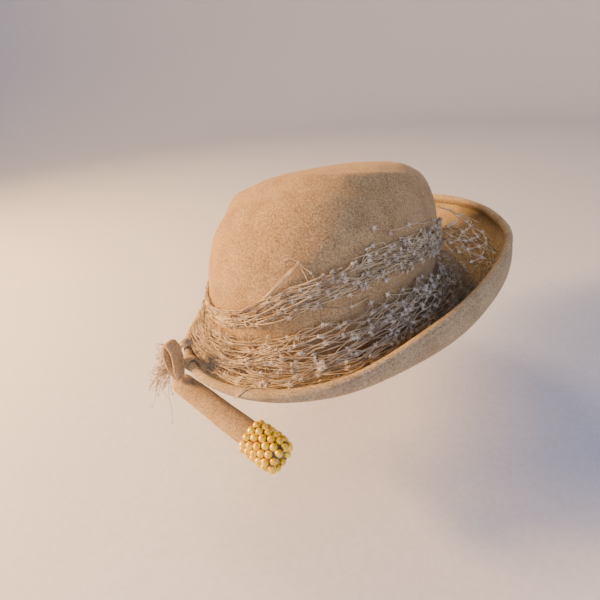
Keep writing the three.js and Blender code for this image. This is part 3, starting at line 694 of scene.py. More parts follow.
def wool_felt(name, dark, middle, light, fleck):
    """Wool felt, blocked over steam and brushed: a dull mat of short crossing fibres, flecked light
    and dark, with a soft pale bloom where the nap is seen from the side."""
    material, tree, place = new_material(name)
    # Fibre tufts are about 0.4 mm; they are drawn at 1.1 mm, so that they show in the picture
    tufts = add_node(tree, "ShaderNodeTexNoise",
                     {"Vector": place, "Scale": 1 / (1.1 * MM), "Detail": 4.0, "Roughness": 0.7})
    # Matted patches where the felt was steamed and handled, about 14 mm
    patches = add_node(tree, "ShaderNodeTexNoise",
                       {"Vector": place, "Scale": 1 / (14 * MM), "Detail": 3.0, "Roughness": 0.55})
    # Pale single fibres, about 1.9 mm apart
    flecks = add_node(tree, "ShaderNodeTexVoronoi", {"Vector": place, "Scale": 1 / (1.9 * MM)})
    base = add_node(tree, "ShaderNodeValToRGB", {"Fac": tufts.outputs["Fac"]},
                    steps=[(0.34, dark), (0.5, middle), (0.66, light)])
    shade = add_node(tree, "ShaderNodeValToRGB", {"Fac": patches.outputs["Fac"]},
                     steps=[(0.3, "#d9d4cf"), (0.68, "#ffffff")])
    mottled = add_node(tree, "ShaderNodeMix",
                       {"Factor": 0.8, "A": base.outputs["Color"], "B": shade.outputs["Color"]},
                       data_type="RGBA", blend_type="MULTIPLY")
    spot = add_node(tree, "ShaderNodeMapRange",
                    {"Value": flecks.outputs["Distance"], "From Min": 0.2, "From Max": 0.08,
                     "To Min": 0.0, "To Max": 0.55})
    colour = add_node(tree, "ShaderNodeMix",
                      {"Factor": spot.outputs["Result"], "A": mottled.outputs["Result"], "B": srgb(fleck)},
                      data_type="RGBA")
    nap = add_node(tree, "ShaderNodeBump",
                   {"Height": tufts.outputs["Fac"], "Strength": 0.75, "Distance": 0.0007})
    matting = add_node(tree, "ShaderNodeBump",
                       {"Height": patches.outputs["Fac"], "Strength": 0.3, "Distance": 0.0012,
                        "Normal": nap.outputs["Normal"]})
    shader = add_node(tree, "ShaderNodeBsdfPrincipled",
                      {"Base Color": colour.outputs["Result"], "Normal": matting.outputs["Normal"],
                       "Roughness": 0.94, "IOR": 1.5, "Specular IOR Level": 0.25,
                       "Sheen Weight": 0.28, "Sheen Roughness": 0.45, "Sheen Tint": srgb("#ecd6b0")})
    add_node(tree, "ShaderNodeOutputMaterial", {"Surface": shader.outputs["BSDF"]})
    return material


def spun_thread(name, dark, light, sheen):
    """Spun rayon net thread: fine, slightly lustrous, its shade changing along the yarn."""
    material, tree, place = new_material(name)
    # Yarn shade changes over about 9 mm; its ply twist of 0.5 mm is drawn at 0.9 mm
    shade = add_node(tree, "ShaderNodeTexNoise",
                     {"Vector": place, "Scale": 1 / (9 * MM), "Detail": 3.0, "Roughness": 0.6})
    ply = add_node(tree, "ShaderNodeTexNoise",
                   {"Vector": place, "Scale": 1 / (0.9 * MM), "Detail": 2.0, "Roughness": 0.6})
    colour = add_node(tree, "ShaderNodeValToRGB", {"Fac": shade.outputs["Fac"]},
                      steps=[(0.34, dark), (0.66, light)])
    twist = add_node(tree, "ShaderNodeBump",
                     {"Height": ply.outputs["Fac"], "Strength": 0.6, "Distance": 0.0003})
    shader = add_node(tree, "ShaderNodeBsdfPrincipled",
                      {"Base Color": colour.outputs["Color"], "Normal": twist.outputs["Normal"],
                       "Roughness": 0.62, "IOR": 1.5, "Specular IOR Level": 0.4,
                       "Sheen Weight": sheen, "Sheen Roughness": 0.4})
    add_node(tree, "ShaderNodeOutputMaterial", {"Surface": shader.outputs["BSDF"]})
    return material


def pearl_coat(name):
    """Glass bead dipped in pearl lacquer: a warm gold body under a hard clear gloss, with the dips
    of the lacquer as faint changes of shade from bead to bead."""
    material, tree, place = new_material(name)
    # One bead is 5 mm across, so the shade changes over about that
    dip = add_node(tree, "ShaderNodeTexNoise",
                   {"Vector": place, "Scale": 1 / (5 * MM), "Detail": 1.0, "Roughness": 0.5})
    # Ripples in the lacquer, about 0.8 mm
    ripple = add_node(tree, "ShaderNodeTexNoise",
                      {"Vector": place, "Scale": 1 / (0.8 * MM), "Detail": 2.0, "Roughness": 0.5})
    colour = add_node(tree, "ShaderNodeValToRGB", {"Fac": dip.outputs["Fac"]},
                      steps=[(0.32, "#e8b402"), (0.5, "#f9cd0c"), (0.68, "#ffe138")])
    skin = add_node(tree, "ShaderNodeBump",
                    {"Height": ripple.outputs["Fac"], "Strength": 0.25, "Distance": 0.00012})
    shader = add_node(tree, "ShaderNodeBsdfPrincipled",
                      {"Base Color": colour.outputs["Color"], "Normal": skin.outputs["Normal"],
                       "Roughness": 0.27, "Metallic": 0.2, "Coat Weight": 0.6, "Coat Roughness": 0.1,
                       "Coat IOR": 1.5})
    add_node(tree, "ShaderNodeOutputMaterial", {"Surface": shader.outputs["BSDF"]})
    return material


def painted_cove(name):
    """Matt wall paint, rolled on: pale and even, with the roller's faint stipple."""
    material, tree, place = new_material(name)
    stipple = add_node(tree, "ShaderNodeTexNoise",
                       {"Vector": place, "Scale": 1 / (4 * MM), "Detail": 3.0, "Roughness": 0.5})
    colour = add_node(tree, "ShaderNodeValToRGB", {"Fac": stipple.outputs["Fac"]},
                      steps=[(0.3, "#d3d9e0"), (0.7, "#dbe1e8")])
    relief = add_node(tree, "ShaderNodeBump",
                      {"Height": stipple.outputs["Fac"], "Strength": 0.1, "Distance": 0.0003})
    shader = add_node(tree, "ShaderNodeBsdfPrincipled",
                      {"Base Color": colour.outputs["Color"], "Normal": relief.outputs["Normal"],
                       "Roughness": 0.9})
    add_node(tree, "ShaderNodeOutputMaterial", {"Surface": shader.outputs["BSDF"]})
    return material


# The brim is the crown's felt painted greyer: painted shade, so that its wall in shade stays grey under the
# warm lamp
CROWN_FELT_SHADE = wool_felt("wool_felt_blocked", "#87714c", "#ac9064", "#cdb07b", "#ecd5a4")
BRIM_FELT_PAINTED_SHADE = wool_felt("wool_felt_brim_painted_shade", "#84745a", "#a8956f", "#c9b58e", "#e8d7b2")
# The trimming is the crown's felt painted a little lighter: painted light, as on the lit quill and loop
TRIM_FELT_PAINTED_LIGHT = wool_felt("wool_felt_trimming_painted_light", "#927b54", "#b6996c", "#d3b683", "#efd9a9")
NET_THREAD = spun_thread("rayon_net_thread", "#8f7a58", "#dcc798", 0.3)
KNOT_THREAD = spun_thread("rayon_net_knot", "#b6a88c", "#e9dcbe", 0.35)
# The backing under the pearls is dark brown: painted shade in the gaps between the pearls
BACKING_PAINTED_SHADE = spun_thread("cotton_backing_painted_shade", "#4d3a20", "#6f5530", 0.1)
SEWING_THREAD = spun_thread("cotton_sewing_thread", "#4c423a", "#6b5f53", 0.1)
GOLD_PEARL = pearl_coat("pearl_lacquered_glass")
COVE = painted_cove("matt_wall_paint")


# Crown


def soft_edge(angle, along, edge):
    """Relief where two broad planes of the crown meet: raised along the edge, hollow below it."""
    turn = np.degrees(angle) % 360
    turn = np.where(turn < 100, turn + 360, turn)
    past = along - np.interp(turn, edge["angle"], edge["along"])
    first, last = edge["angle"][0], edge["angle"][-1]
    fade = smoothstep(turn, first, first + EDGE_FADE) * (1 - smoothstep(turn, last - EDGE_FADE, last))
    width = edge["width"]
    raised = np.exp(-((past / width) ** 2))
    sunk = np.exp(-(((past + 2.1 * width) / (1.7 * width)) ** 2))
    return fade * (edge["height"] * raised - edge["hollow"] * sunk)


def fine_crease(angle, along):
    """How deep the fine crease in the crown's front is at a place."""
    turn = np.degrees(angle) - CROWN_CREASE["angle"]
    up = along - CROWN_CREASE["along"] - CROWN_CREASE["slope"] * turn
    turn, up = turn / CROWN_CREASE["reach"], up / CROWN_CREASE["rise"]
    return CROWN_CREASE["depth"] * np.exp(-(turn ** 2) - up ** 2)


def make_crown():
    """The blocked dome: broad planes, soft dents, a fine crease and the unevenness of hand blocking."""
    turns = np.linspace(0, TURN, CROWN_COLUMNS, endpoint=False)[None, :]
    # The rows lie a little closer together towards the tip
    ways = (1 - (1 - np.linspace(0, CROWN_TIP, CROWN_ROWS)) ** 1.15)[:, None]
    turns, ways = np.broadcast_arrays(turns, ways)
    outside, outward = crown_point(turns, ways, np.zeros(turns.shape))
    relief = soft_edge(turns, ways, TOP_EDGE) + soft_edge(turns, ways, SIDE_EDGE) - fine_crease(turns, ways)
    outside = outside + outward * relief[..., None]
    for depth, swell in CROWN_UNEVEN:
        outside = softened(outside, outward, depth, swell)
    inside = outside - outward * CROWN_FELT
    tip, under = outside[-1].mean(0), inside[-1].mean(0)
    rows, columns = outside.shape[:2]
    skin = grid_faces(rows, columns)
    size = rows * columns
    foot = np.arange(columns)
    after = (foot + 1) % columns
    faces = [*skin, *(skin[:, ::-1] + size), *np.stack([after, foot, foot + size, after + size], 1)]
    last = (rows - 1) * columns
    faces += closed_end(outside[-1], 2 * size, last, False)
    faces += closed_end(inside[-1], 2 * size + 1, size + last, True)
    points = np.vstack([outside.reshape(-1, 3), inside.reshape(-1, 3), tip, under])
    add_piece("crown_felt", points, faces, CROWN_FELT_SHADE, ["crown"])


# Brim


def brim_section(angle):
    """The brim cut through: trough and wall, turned-in hem, rolled edge and outer face. The roll
    turns past half round at both ends, and a crease lies where it meets the outer face."""
    curve = brim_curve(angle)
    length, fold = curve["length"], fold_share(curve)
    inner = brim_point(curve, np.linspace(0, fold, BRIM_ROWS["inner"]), BRIM_FELT)
    bend = np.linspace(0, math.pi / 2, BRIM_ROWS["hem"])[1:]
    turned_in = fold + (1 - np.cos(bend)) * HEM_BEND / length
    hem = brim_point(curve, turned_in, BRIM_FELT + FOLD_FELT * np.sin(bend))
    rolled = roll_point(curve, np.linspace(ROLL_START, ROLL_END, BRIM_ROWS["roll"]), ROLL_RADIUS)
    bridge = hem[-1] + (rolled[0] - hem[-1]) * np.linspace(0, 1, BRIM_ROWS["hem"])[1:-1, None]
    crease = brim_point(curve, np.array([1 - (ROLL_RADIUS + CREASE_PAST) / length]), CREASE_DEPTH)
    start = 1 - (ROLL_RADIUS + FACE_PAST) / length
    outer = brim_point(curve, np.linspace(start, 0, BRIM_ROWS["outer"]), 0.0)
    return swing(np.vstack([inner, hem, bridge, rolled, crease, outer]), angle)


def make_brim():
    """The brim: its section swept round the head, with the unevenness of felt turned up by hand."""
    angles = np.linspace(0, TURN, BRIM_COLUMNS, endpoint=False)
    points = np.stack([brim_section(a) for a in angles], axis=1)
    faces = facing_out(points, grid_faces(*points.shape[:2], closed_rows=True))
    outward = unit(points * [1, 1, 0])
    points = softened(points, outward, *BRIM_UNEVEN_OUT)
    points = softened(points, np.broadcast_to([0, 0, 1.0], points.shape), *BRIM_UNEVEN_UP)
    add_piece("brim_felt", points, faces, BRIM_FELT_PAINTED_SHADE, ["brim"])


def make_hem_stitches():
    """Running stitches that hold the turned-in hem, just above its edge."""
    paths = []
    angle = 0.0
    while angle < TURN:
        curve = brim_curve(angle)
        step = STITCH_STEP / curve["curve"][-1][0]
        share = fold_share(curve) + STITCH_ABOVE / curve["length"]
        turns = angle + np.linspace(0, STITCH_SHARE, len(STITCH_LIFT)) * step
        paths.append([swing(brim_point(brim_curve(t), share, BRIM_FELT + FOLD_FELT + up), t)
                      for t, up in zip(turns, np.array(STITCH_LIFT))])
        angle += step
    points, faces = tubes(paths, [0, 0, 1.0], STITCH_THREAD, sides=5)
    add_piece("hem_stitches", points, faces, SEWING_THREAD)


# Net


def lower_band_ends():
    """Where the lower band leaves the brim and reaches the crown, for each half degree, and its sag.
    Where the band runs out to the brim's edge, it passes over the rolled edge."""
    angles = np.linspace(0, TURN, 721)
    brims = []
    for angle in angles:
        rim = brim_curve(angle)
        share = min(1, around(VEIL_LOWER, "brim", angle))
        fold = smoothstep(share, fold_share(rim) - VEIL_STEP, fold_share(rim))
        over = 2 * ROLL_RADIUS - ROLL_SWELL - BRIM_FELT + SEAM
        brim = swing(brim_point(rim, share, BRIM_FELT + LOWER_BRIM_CLEAR + over * fold), angle)
        brims.append(brim + np.array([0, 0, ROLL_RADIUS * fold]))
    clear = np.full(len(angles), LOWER_CROWN_CLEAR)
    crowns = crown_point(angles, around(VEIL_LOWER, "crown", angles), clear)[0]
    sag = VEIL_SAG * around(VEIL_LOWER, "sag", angles)
    return angles, np.array(brims), crowns, sag


LAND_ANGLES, LAND_BRIM, LAND_CROWN, LAND_SAG = lower_band_ends()


def at_angle(values, angle):
    """Values of the lower band, which are kept for each half degree, at any angle."""
    values = values.reshape(len(LAND_ANGLES), -1)
    read = [np.interp(angle % TURN, LAND_ANGLES, values[:, k]) for k in range(values.shape[1])]
    return np.stack(read, axis=-1)


def on_upper_band(angle, share, out):
    """A place on the upper band at a share of the way up it, and the way out there."""
    low, high = around(VEIL_UPPER, "low", angle), around(VEIL_UPPER, "high", angle)
    return crown_point(angle, low + (high - low) * share, UPPER_CLEAR + out)


def on_lower_band(angle, share, out):
    """A place on the lower band at a share of the way from brim to crown, and the way out there."""
    brim, crown = at_angle(LAND_BRIM, angle), at_angle(LAND_CROWN, angle)
    middle = (brim + crown) / 2
    middle[..., 2] -= at_angle(LAND_SAG, angle)[..., 0]
    s = np.asarray(share)[..., None]
    place = (1 - s) ** 2 * brim + 2 * s * (1 - s) * middle + s * s * crown
    run = 2 * (1 - s) * (middle - brim) + 2 * s * (crown - middle)
    round_it = np.stack([-np.sin(angle), np.cos(angle), np.zeros_like(angle)], axis=-1)
    outward = unit(np.cross(round_it, run))
    return place + outward * np.asarray(out)[..., None], outward


def knotted_layer(band, cells, rows, lean, loose, low, high, bow, crowd):
    """One layer of diamond net on a band: its threads as paths, the ways out, and its knots."""
    row, cell = np.meshgrid(np.arange(rows + 1), np.arange(cells), indexing="ij")
    turn = cell + (row % 2) / 2 + lean * row + loose * scatter.normal(size=row.shape)
    share = FIRST_ROW + ROWS_REACH * (row + 0.7 * loose * scatter.normal(size=row.shape)) / rows
    share = np.clip(share, -FIRST_ROW, 1 + FIRST_ROW)
    share = np.sign(share) * np.abs(share) ** crowd
    lift = low + (high - low) * scatter.random(row.shape)
    starts, ends, wraps = [], [], []
    for k in range(rows):
        for i in range(cells):
            other = i - 1 if k % 2 == 0 else i + 1
            for j in (i, other):
                starts.append((k, i))
                ends.append((k + 1, j % cells))
                wraps.append(cells * (j // cells))
    starts, ends, wraps = np.array(starts).T, np.array(ends).T, np.array(wraps)[:, None]
    t = np.linspace(0, 1, 7)[None, :]
    count = starts.shape[1]

    def between(values, add=0):
        return values[tuple(starts)][:, None] * (1 - t) + (values[tuple(ends)][:, None] + add) * t

    belly = np.sin(np.pi * t)
    wave = np.sin(TURN * t + TURN * scatter.random((count, 1)))
    drift = scatter.normal(size=(count, 1)) * belly + 0.5 * scatter.normal(size=(count, 1)) * wave
    turns = (between(turn, wraps) + 0.25 * bow * drift) * TURN / cells
    shares = between(share) + bow * scatter.normal(size=(count, 1)) * belly / rows
    lifts = np.maximum(between(lift) + 0.9 * belly * scatter.random((count, 1)) * (high - low), 0.1)
    paths, away = band(turns, shares, lifts)
    knots, knot_away = band(turn * TURN / cells, share, lift)
    return paths, away, knots.reshape(-1, 3), knot_away.reshape(-1, 3), (turn * 360 / cells % 360).ravel()


def long_strands(band, count, reach, low, high):
    """Drawn threads that run far round a band, where the gathers pull the net out of shape."""
    start = scatter.random((count, 1)) * TURN
    t = np.linspace(0, 1, 26)[None, :]
    turns = start + reach * (0.5 + scatter.random((count, 1))) * t
    from_share, to_share = scatter.random((count, 1)), scatter.random((count, 1))
    shares = from_share + (to_share - from_share) * smoothstep(t, 0, 1)
    shares = shares + 0.05 * np.sin(TURN * (3 * t + scatter.random((count, 1))))
    lifts = low + (high - low) * (0.5 + 0.5 * np.sin(TURN * (2.3 * t + scatter.random((count, 1)))))
    return band(turns, np.clip(shares, 0, 1), lifts)


def icosahedron():
    """Corners and faces of a ball of 20 triangles, for the hard core of a knot."""
    golden = (1 + 5**0.5) / 2
    flat = [(a, b * golden, 0) for a in (-1, 1) for b in (-1, 1)]
    corners = flat + [(0, a, b) for a, b, _ in flat] + [(b, 0, a) for a, b, _ in flat]
    corners = unit(np.array(corners, float))
    near = np.linalg.norm(corners[:, None] - corners[None], axis=-1) < 1.1
    faces = []
    for a, b, c in itertools.combinations(range(12), 3):
        if near[a, b] and near[b, c] and near[a, c]:
            outwards = np.linalg.det(corners[[a, b, c]]) > 0
            faces.append((a, b, c) if outwards else (a, c, b))
    return corners, np.array(faces)


def net_knots(places, away, sizes):
    """Knots where threads cross: a small square of thread, its ends standing off, round a hard core.
    Their parts are shares of the size of each knot."""
    count = len(places)
    side = unit(np.cross(away, [0.31, 0.2, 0.93]))
    turn = scatter.random((count, 1)) * TURN
    other = np.cross(away, side)
    side, other = side * np.cos(turn) + other * np.sin(turn), other * np.cos(turn) - side * np.sin(turn)
    sizes = np.asarray(sizes)[:, None, None]
    reach = np.stack([places, side, other, away], 1)[:, :, None]
    place, side, other, away = (reach[:, k] for k in range(4))

    # The square of thread
    t = np.linspace(0, TURN, 9)[None, :, None]
    round_it = sizes * (KNOT["half"] + KNOT["corner"] * np.cos(4 * t))
    round_it = round_it * scatter.uniform(*KNOT["uneven"], (count, 1, 1))
    skew = KNOT["skew"] * np.sin(2 * t + scatter.random((count, 1, 1)) * TURN)
    lift = away * sizes * (KNOT["height"] + skew)
    squares = place + (side * np.cos(t) + other * np.sin(t)) * round_it + lift
    points, faces = tubes(squares, away, SQUARE_THREAD)

    # Its ends
    ends = LOOSE_ENDS
    t = (np.arange(ends)[None, :, None] + scatter.uniform(-0.35, 0.35, (count, ends, 1))) * TURN / ends
    way = side * np.cos(t) + other * np.sin(t)
    far = scatter.uniform(*KNOT["reach"], (count, ends, 1)) * sizes
    up = away * scatter.uniform(*KNOT["rise"], (count, ends, 1)) * sizes
    hairs = np.stack([place + 0 * way, place + way * far * 0.6 + up * 0.8, place + way * far + up], 2)
    hairs_away = np.broadcast_to(away[:, :, None], hairs.shape)
    more, more_faces = tubes(hairs.reshape(-1, 3, 3), hairs_away.reshape(-1, 3, 3), KNOT_ENDS)

    # Its core
    corners, core_faces = icosahedron()
    lumps = corners[None] * scatter.uniform(*KNOT["lumpy"], (count, len(corners), 1)) * sizes * KNOT["half"]
    flatter = 0.3 * away * np.sum(lumps * away, -1, keepdims=True)
    lumps = place + lumps - flatter + KNOT["core_height"] * away * sizes
    cores = (core_faces[None] + len(corners) * np.arange(count)[:, None, None]).reshape(-1, 3)
    first, second = len(points), len(points) + len(more)
    faces = [*faces, *(more_faces + first), *(cores + second)]
    return np.vstack([points, more, lumps.reshape(-1, 3)]), faces


def knot_sizes(angles, big, small):
    """Knots are fullest at the wearer's left and shrink towards the right side and the back."""
    turn = np.abs((angles - KNOTS_FULLEST + 180) % 360 - 180)
    share = np.exp(-((np.maximum(0, turn - KNOTS_EVEN) / KNOTS_FADE) ** 2))
    return (small + (big - small) * share) * scatter.uniform(0.75, 1.2, len(angles))


def make_veil(name, band, net, replaced):
    """A band of net: its layers of cells with long drawn threads over them, and its knots."""
    layers = [knotted_layer(band, **layer) for layer in net["layers"]]
    paths, away, knots, knot_away, angles = (np.concatenate(column) for column in zip(*layers))
    points, faces = tubes(paths, away, net["thread"])
    long_paths, long_away = long_strands(band, net["drawn"], net["reach"], 0.4, 2.4)
    more, more_faces = tubes(long_paths, long_away, net["thread"] * 1.05, sides=4)
    faces = [*faces, *(more_faces + len(points))]
    add_piece(name, np.vstack([points, more]), faces, NET_THREAD, [replaced])
    points, faces = net_knots(knots, knot_away, knot_sizes(angles, *BAND_KNOTS))
    add_piece(name.replace("net", "knots"), points, faces, KNOT_THREAD)


def make_frizz():
    """Short curled ends in the gathers, thickest at the right front, where the net is drawn together."""
    paths, away = [], []
    for band, count in ((on_upper_band, FRIZZ["upper"]), (on_lower_band, FRIZZ["lower"])):
        start = np.radians(scatter.normal(FRIZZ["angle"], FRIZZ["spread"], (count, 1)))
        t = np.linspace(0, 1, 10)[None, :]
        reach = np.radians(scatter.uniform(*FRIZZ["reach"], (count, 1)))
        reach = reach * scatter.choice([-1, 1], (count, 1))
        waves = scatter.random((4, count, 1)) * TURN
        turns = start + reach * t + 0.012 * np.sin(9 * t + waves[0])
        share = scatter.random((count, 1)) + scatter.normal(0, 0.12, (count, 1)) * t
        share = share + 0.06 * np.sin(8 * t + waves[1]) + 0.03 * np.sin(19 * t + waves[2])
        lift = 1.2 + 1.6 * t * scatter.random((count, 1)) + 0.7 * np.sin(7 * t + waves[3])
        p, a = band(turns, np.clip(share, 0, 1.04), np.maximum(lift, 0.4))
        paths.append(p)
        away.append(a)
    points, faces = tubes(np.vstack(paths), np.vstack(away), FRIZZ_THREAD)
    add_piece("gather_frizz", points, faces, NET_THREAD)


def drawn_strand(fold, strand):
    """One strand of a fold, which sways from one neighbour to the other: its path, the ways out,
    the places where it is knotted to a neighbour, the ways out there, and their angles."""
    angle, share = np.radians([row[0] for row in fold]), np.array([row[1] for row in fold])
    share = share + FOLD_GAP * (strand - FOLD_STRANDS / 2) + scatter.normal(0, 0.4 * FOLD_GAP, len(fold))
    angle = angle + scatter.normal(0, 0.01, len(fold))
    line = spline(np.stack([angle, share, scatter.uniform(1.4, 3.4, len(fold))], 1), 90)
    sway = np.sin(line[:, 0] * FOLD_WAVES + math.pi * strand + scatter.normal(0, 0.35))
    line[:, 1] += 0.62 * FOLD_GAP * sway + 0.005 * np.sin(line[:, 0] * 97 + strand)
    line[:, 0] += 0.008 * np.sin(line[:, 0] * 61 + 2.3 * strand)
    path, away = on_lower_band(*line.T)
    meets = np.nonzero(np.diff(np.sign(np.diff(sway))))[0] + 1
    meets = meets[scatter.random(len(meets)) < 0.6]
    return path, away, path[meets], away[meets], np.degrees(line[meets, 0])


def make_drawn_folds():
    """Folds of the lower band, where a few strands lie together and stand off the net below them."""
    strands = [drawn_strand(fold, strand) for fold in DRAWN_FOLDS for strand in range(FOLD_STRANDS)]
    paths, away, knots, knot_away, angles = zip(*strands)
    points, faces = tubes(np.array(paths), np.array(away), FOLD_THREAD)
    add_piece("drawn_folds", points, faces, NET_THREAD)
    sizes = knot_sizes(np.concatenate(angles), *FOLD_KNOTS)
    points, faces = net_knots(np.vstack(knots), np.vstack(knot_away), sizes)
    add_piece("drawn_fold_knots", points, faces, KNOT_THREAD)


def across_trough(angle, reach):
    """A place on the way from the crown's side to the upper part of the brim's wall."""
    crown = crown_point(angle, SPAN_CROWN, 1.0)[0]
    wall = swing(brim_point(brim_curve(angle), np.array([SPAN_BRIM]), BRIM_FELT + 1), angle)[0]
    return crown + (wall - crown) * reach


def make_stray_strands():
    """Strands that have sprung out of the veil: over the crown, across the trough at the wearer's
    left, and over the front of the rim. Each knot has its place, the way out there and its size."""
    paths, knots = [], []
    span_out, rim_out = unit(np.array([0.3, -0.5, 0.8])), unit(np.array([0.1, -1, 0.2]))
    for strand in CROWN_STRANDS:
        turns = np.radians([row[0] for row in strand])
        path, outs = crown_point(turns, [row[1] for row in strand], [row[2] for row in strand])
        paths.append(spline(path, STRAY_STEPS))
        knots += [(path[k], outs[k], row[3]) for k, row in enumerate(strand) if row[3] > 0]
    for strand in SPAN_STRANDS:
        path = [across_trough(math.radians(angle), reach) for angle, reach, _ in strand]
        paths.append(spline(path, STRAY_STEPS))
        knots += [(place, span_out, row[2]) for place, row in zip(path, strand) if row[2] > 0]
    for strand in RIM_STRANDS:
        path = []
        for degrees, turn, out in strand:
            angle = math.radians(degrees)
            path.append(swing(roll_point(brim_curve(angle), np.array([turn]), ROLL_RADIUS + out), angle)[0])
        paths.append(spline(path, STRAY_STEPS))
        knots.append((path[0], rim_out, 1.0))
    points, faces = tubes(paths, unit(np.array([0.35, -0.6, 0.7])), STRAY_THREAD, sides=5)
    add_piece("stray_strands", points, faces, NET_THREAD)
    places, outs, sizes = (np.array([knot[k] for knot in knots]) for k in range(3))
    points, faces = net_knots(places, outs, sizes)
    add_piece("stray_knots", points, faces, KNOT_THREAD)


def make_veil_tail():
    """The gathered end: threads drawn over the rim in a rope, which then frays into loose ends."""
    paths = []
    rope = np.array(TAIL_ROPE)
    for k in range(TAIL_THREADS):
        offset = scatter.normal(size=rope.shape) * TAIL_SPREAD["rope"]
        end = np.array(TAIL_ENDS[k % len(TAIL_ENDS)]) + scatter.normal(size=3) * TAIL_SPREAD["end"]
        bend = (rope[-1] + end) / 2 + scatter.normal(size=3) * TAIL_SPREAD["bend"]
        curl = bend + (end - bend) * 0.6 + scatter.normal(size=3) * TAIL_SPREAD["curl"]
        paths.append(np.vstack([rope + offset, bend, curl, end]))
    for end in np.array(TAIL_LONG_ENDS):
        offset = scatter.normal(size=rope.shape) * TAIL_LONG_SPREAD["rope"]
        bend = (rope[-1] + end) / 2 + np.array([0.12, -0.1, 0.1])
        curl = bend + (end - bend) * 0.7 + scatter.normal(size=3) * TAIL_LONG_SPREAD["curl"]
        paths.append(np.vstack([rope + offset, bend, curl, end]))
    paths = [[beside_rim(TAIL_ANGLE, *(place * TAIL_LENGTH)) for place in path] for path in paths]
    paths = np.array([spline(path, 26) for path in paths])
    radius = np.linspace(*TAIL_THREAD, paths.shape[1])
    points, faces = tubes(paths, unit(np.array([0.3, 0.5, 0.8])), radius)
    add_piece("veil_tail_threads", points, faces, NET_THREAD, ["veil_tail"])
    ends = paths[-len(TAIL_LONG_ENDS):, -1]
    points, faces = net_knots(ends, np.tile([0, 0, 1.0], (len(ends), 1)), np.full(len(ends), 0.9))
    add_piece("veil_tail_knots", points, faces, KNOT_THREAD)


# Loop, strap and quill


def strap_line(height):
    """The strap's way over the rolled edge and down outside it, at a height over its underside."""
    curve = brim_curve(STRAP_ANGLE)
    clear = SEAM + 0.3 + height
    turns = math.pi * (1 - np.linspace(0, 1, 28))
    over = roll_point(curve, turns, ROLL_RADIUS + clear)
    down = 1 - (ROLL_RADIUS + STRAP_TAIL * np.linspace(0.2, 1, 10)) / curve["length"]
    return np.vstack([over, brim_point(curve, down, -clear)])


def make_strap():
    """The narrow strip over the rolled edge that holds the loop, drawn in a little at its middle."""
    low, high = strap_line(0.0), strap_line(STRAP_FELT)
    path = swing((low + high) / 2, STRAP_ANGLE)
    up = unit(swing(high - low, STRAP_ANGLE))
    side = np.broadcast_to(rim_axes(STRAP_ANGLE)[0], path.shape)
    width = STRAP_WIDTH * (1 - 0.14 * np.sin(np.linspace(0, math.pi, len(path))))
    points, faces = felt_strip(path, side, up, width, STRAP_FELT, False)
    rows, corners = points.shape[:2]
    first, last = range(corners), range((rows - 1) * corners, rows * corners)
    points = softened(points, np.broadcast_to(up[:, None], points.shape), *STRAP_UNEVEN)
    add_piece("strap_felt", points, [*faces, first[::-1], last], TRIM_FELT_PAINTED_LIGHT, ["loop_strap"])


def loop_foot():
    """The pinched foot of the loop, which hangs just outside the strap."""
    face = max(float(p[0]) for p in strap_line(STRAP_FELT))
    axes = rim_axes(STRAP_ANGLE)
    foot = beside_rim(STRAP_ANGLE, 0, -LOOP_SIDE, -LOOP_DROP)
    return foot + axes[2] * (face + SEAM + LOOP_STRIP / 2 - foot @ axes[2])


def make_loop():
    """A strip of felt bent back on itself, its foot pinched so that folds run up from the pinch."""
    turn = np.linspace(0, TURN, 97)[:-1] + 0.001
    half = LOOP_WIDTH / 2 * np.sin(turn) * (LOOP_PINCH + np.sin(turn / 2))
    height = LOOP_HEIGHT * (1 - np.cos(turn)) / 2
    outline = np.stack([half, height], -1)
    heading = unit(np.roll(outline, -1, axis=0) - np.roll(outline, 1, axis=0))
    normal = np.stack([heading[:, 1], -heading[:, 0]], -1)
    outwards = np.sign(np.sum(normal * (outline - [0, LOOP_HEIGHT / 2]), -1))
    middle = outline - normal * outwards[:, None] * LOOP_FELT / 2
    middle[:, 1] = np.clip(middle[:, 1], 1.2, None)
    axes = rim_axes(STRAP_ANGLE)
    foot = loop_foot()
    through = axes[2] * math.cos(LOOP_TWIST) + axes[0] * math.sin(LOOP_TWIST)
    across_it = axes[0] * math.cos(LOOP_TWIST) - axes[2] * math.sin(LOOP_TWIST)

    def placed(flat):
        return flat[:, :1] * across_it + flat[:, 1:] * axes[1]

    open_share = smoothstep(height, -LOOP_HEIGHT / 4, LOOP_HEIGHT / 2)
    width = LOOP_STRIP * (LOOP_GATHER + (1 - LOOP_GATHER) * open_share)
    side = np.broadcast_to(through, (len(turn), 3))
    points, faces = felt_strip(foot + placed(middle), side, placed(normal), width, LOOP_FELT, True, 36)
    across = (points - foot) @ through
    folds = np.sin(2.3 * across + 0.07 * height[:, None] + 1.5 * np.sin(turn)[:, None])
    fade = smoothstep(height, LOOP_HEIGHT * LOOP_FOLDS["low"], LOOP_HEIGHT * LOOP_FOLDS["high"])
    depth = LOOP_FOLDS["depth"] * (1 - fade)
    points = points + placed(normal)[:, None] * (folds * depth[:, None])[..., None]
    points = softened(points, np.broadcast_to(placed(normal)[:, None], points.shape), *LOOP_UNEVEN)
    return add_piece("loop_of_felt", points, faces, TRIM_FELT_PAINTED_LIGHT, ["felt_loop"])


def quill_axes():
    """The quill's closed end, its run, and two ways across it."""
    heading = np.array([
        math.cos(QUILL_DROOP) * math.cos(QUILL_TURN),
        math.cos(QUILL_DROOP) * math.sin(QUILL_TURN),
        -math.sin(QUILL_DROOP),
    ])
    grip = loop_foot() + rim_axes(STRAP_ANGLE)[2] * QUILL_OUT
    grip[2] -= SEAM + QUILL_TOP_RADIUS / math.cos(QUILL_DROOP)
    turn = Vector((0, 1, 0)).rotation_difference(Vector(heading)).to_matrix()
    return grip - heading * QUILL_GRIP, heading, np.array(turn.col[0]), np.array(turn.col[2])


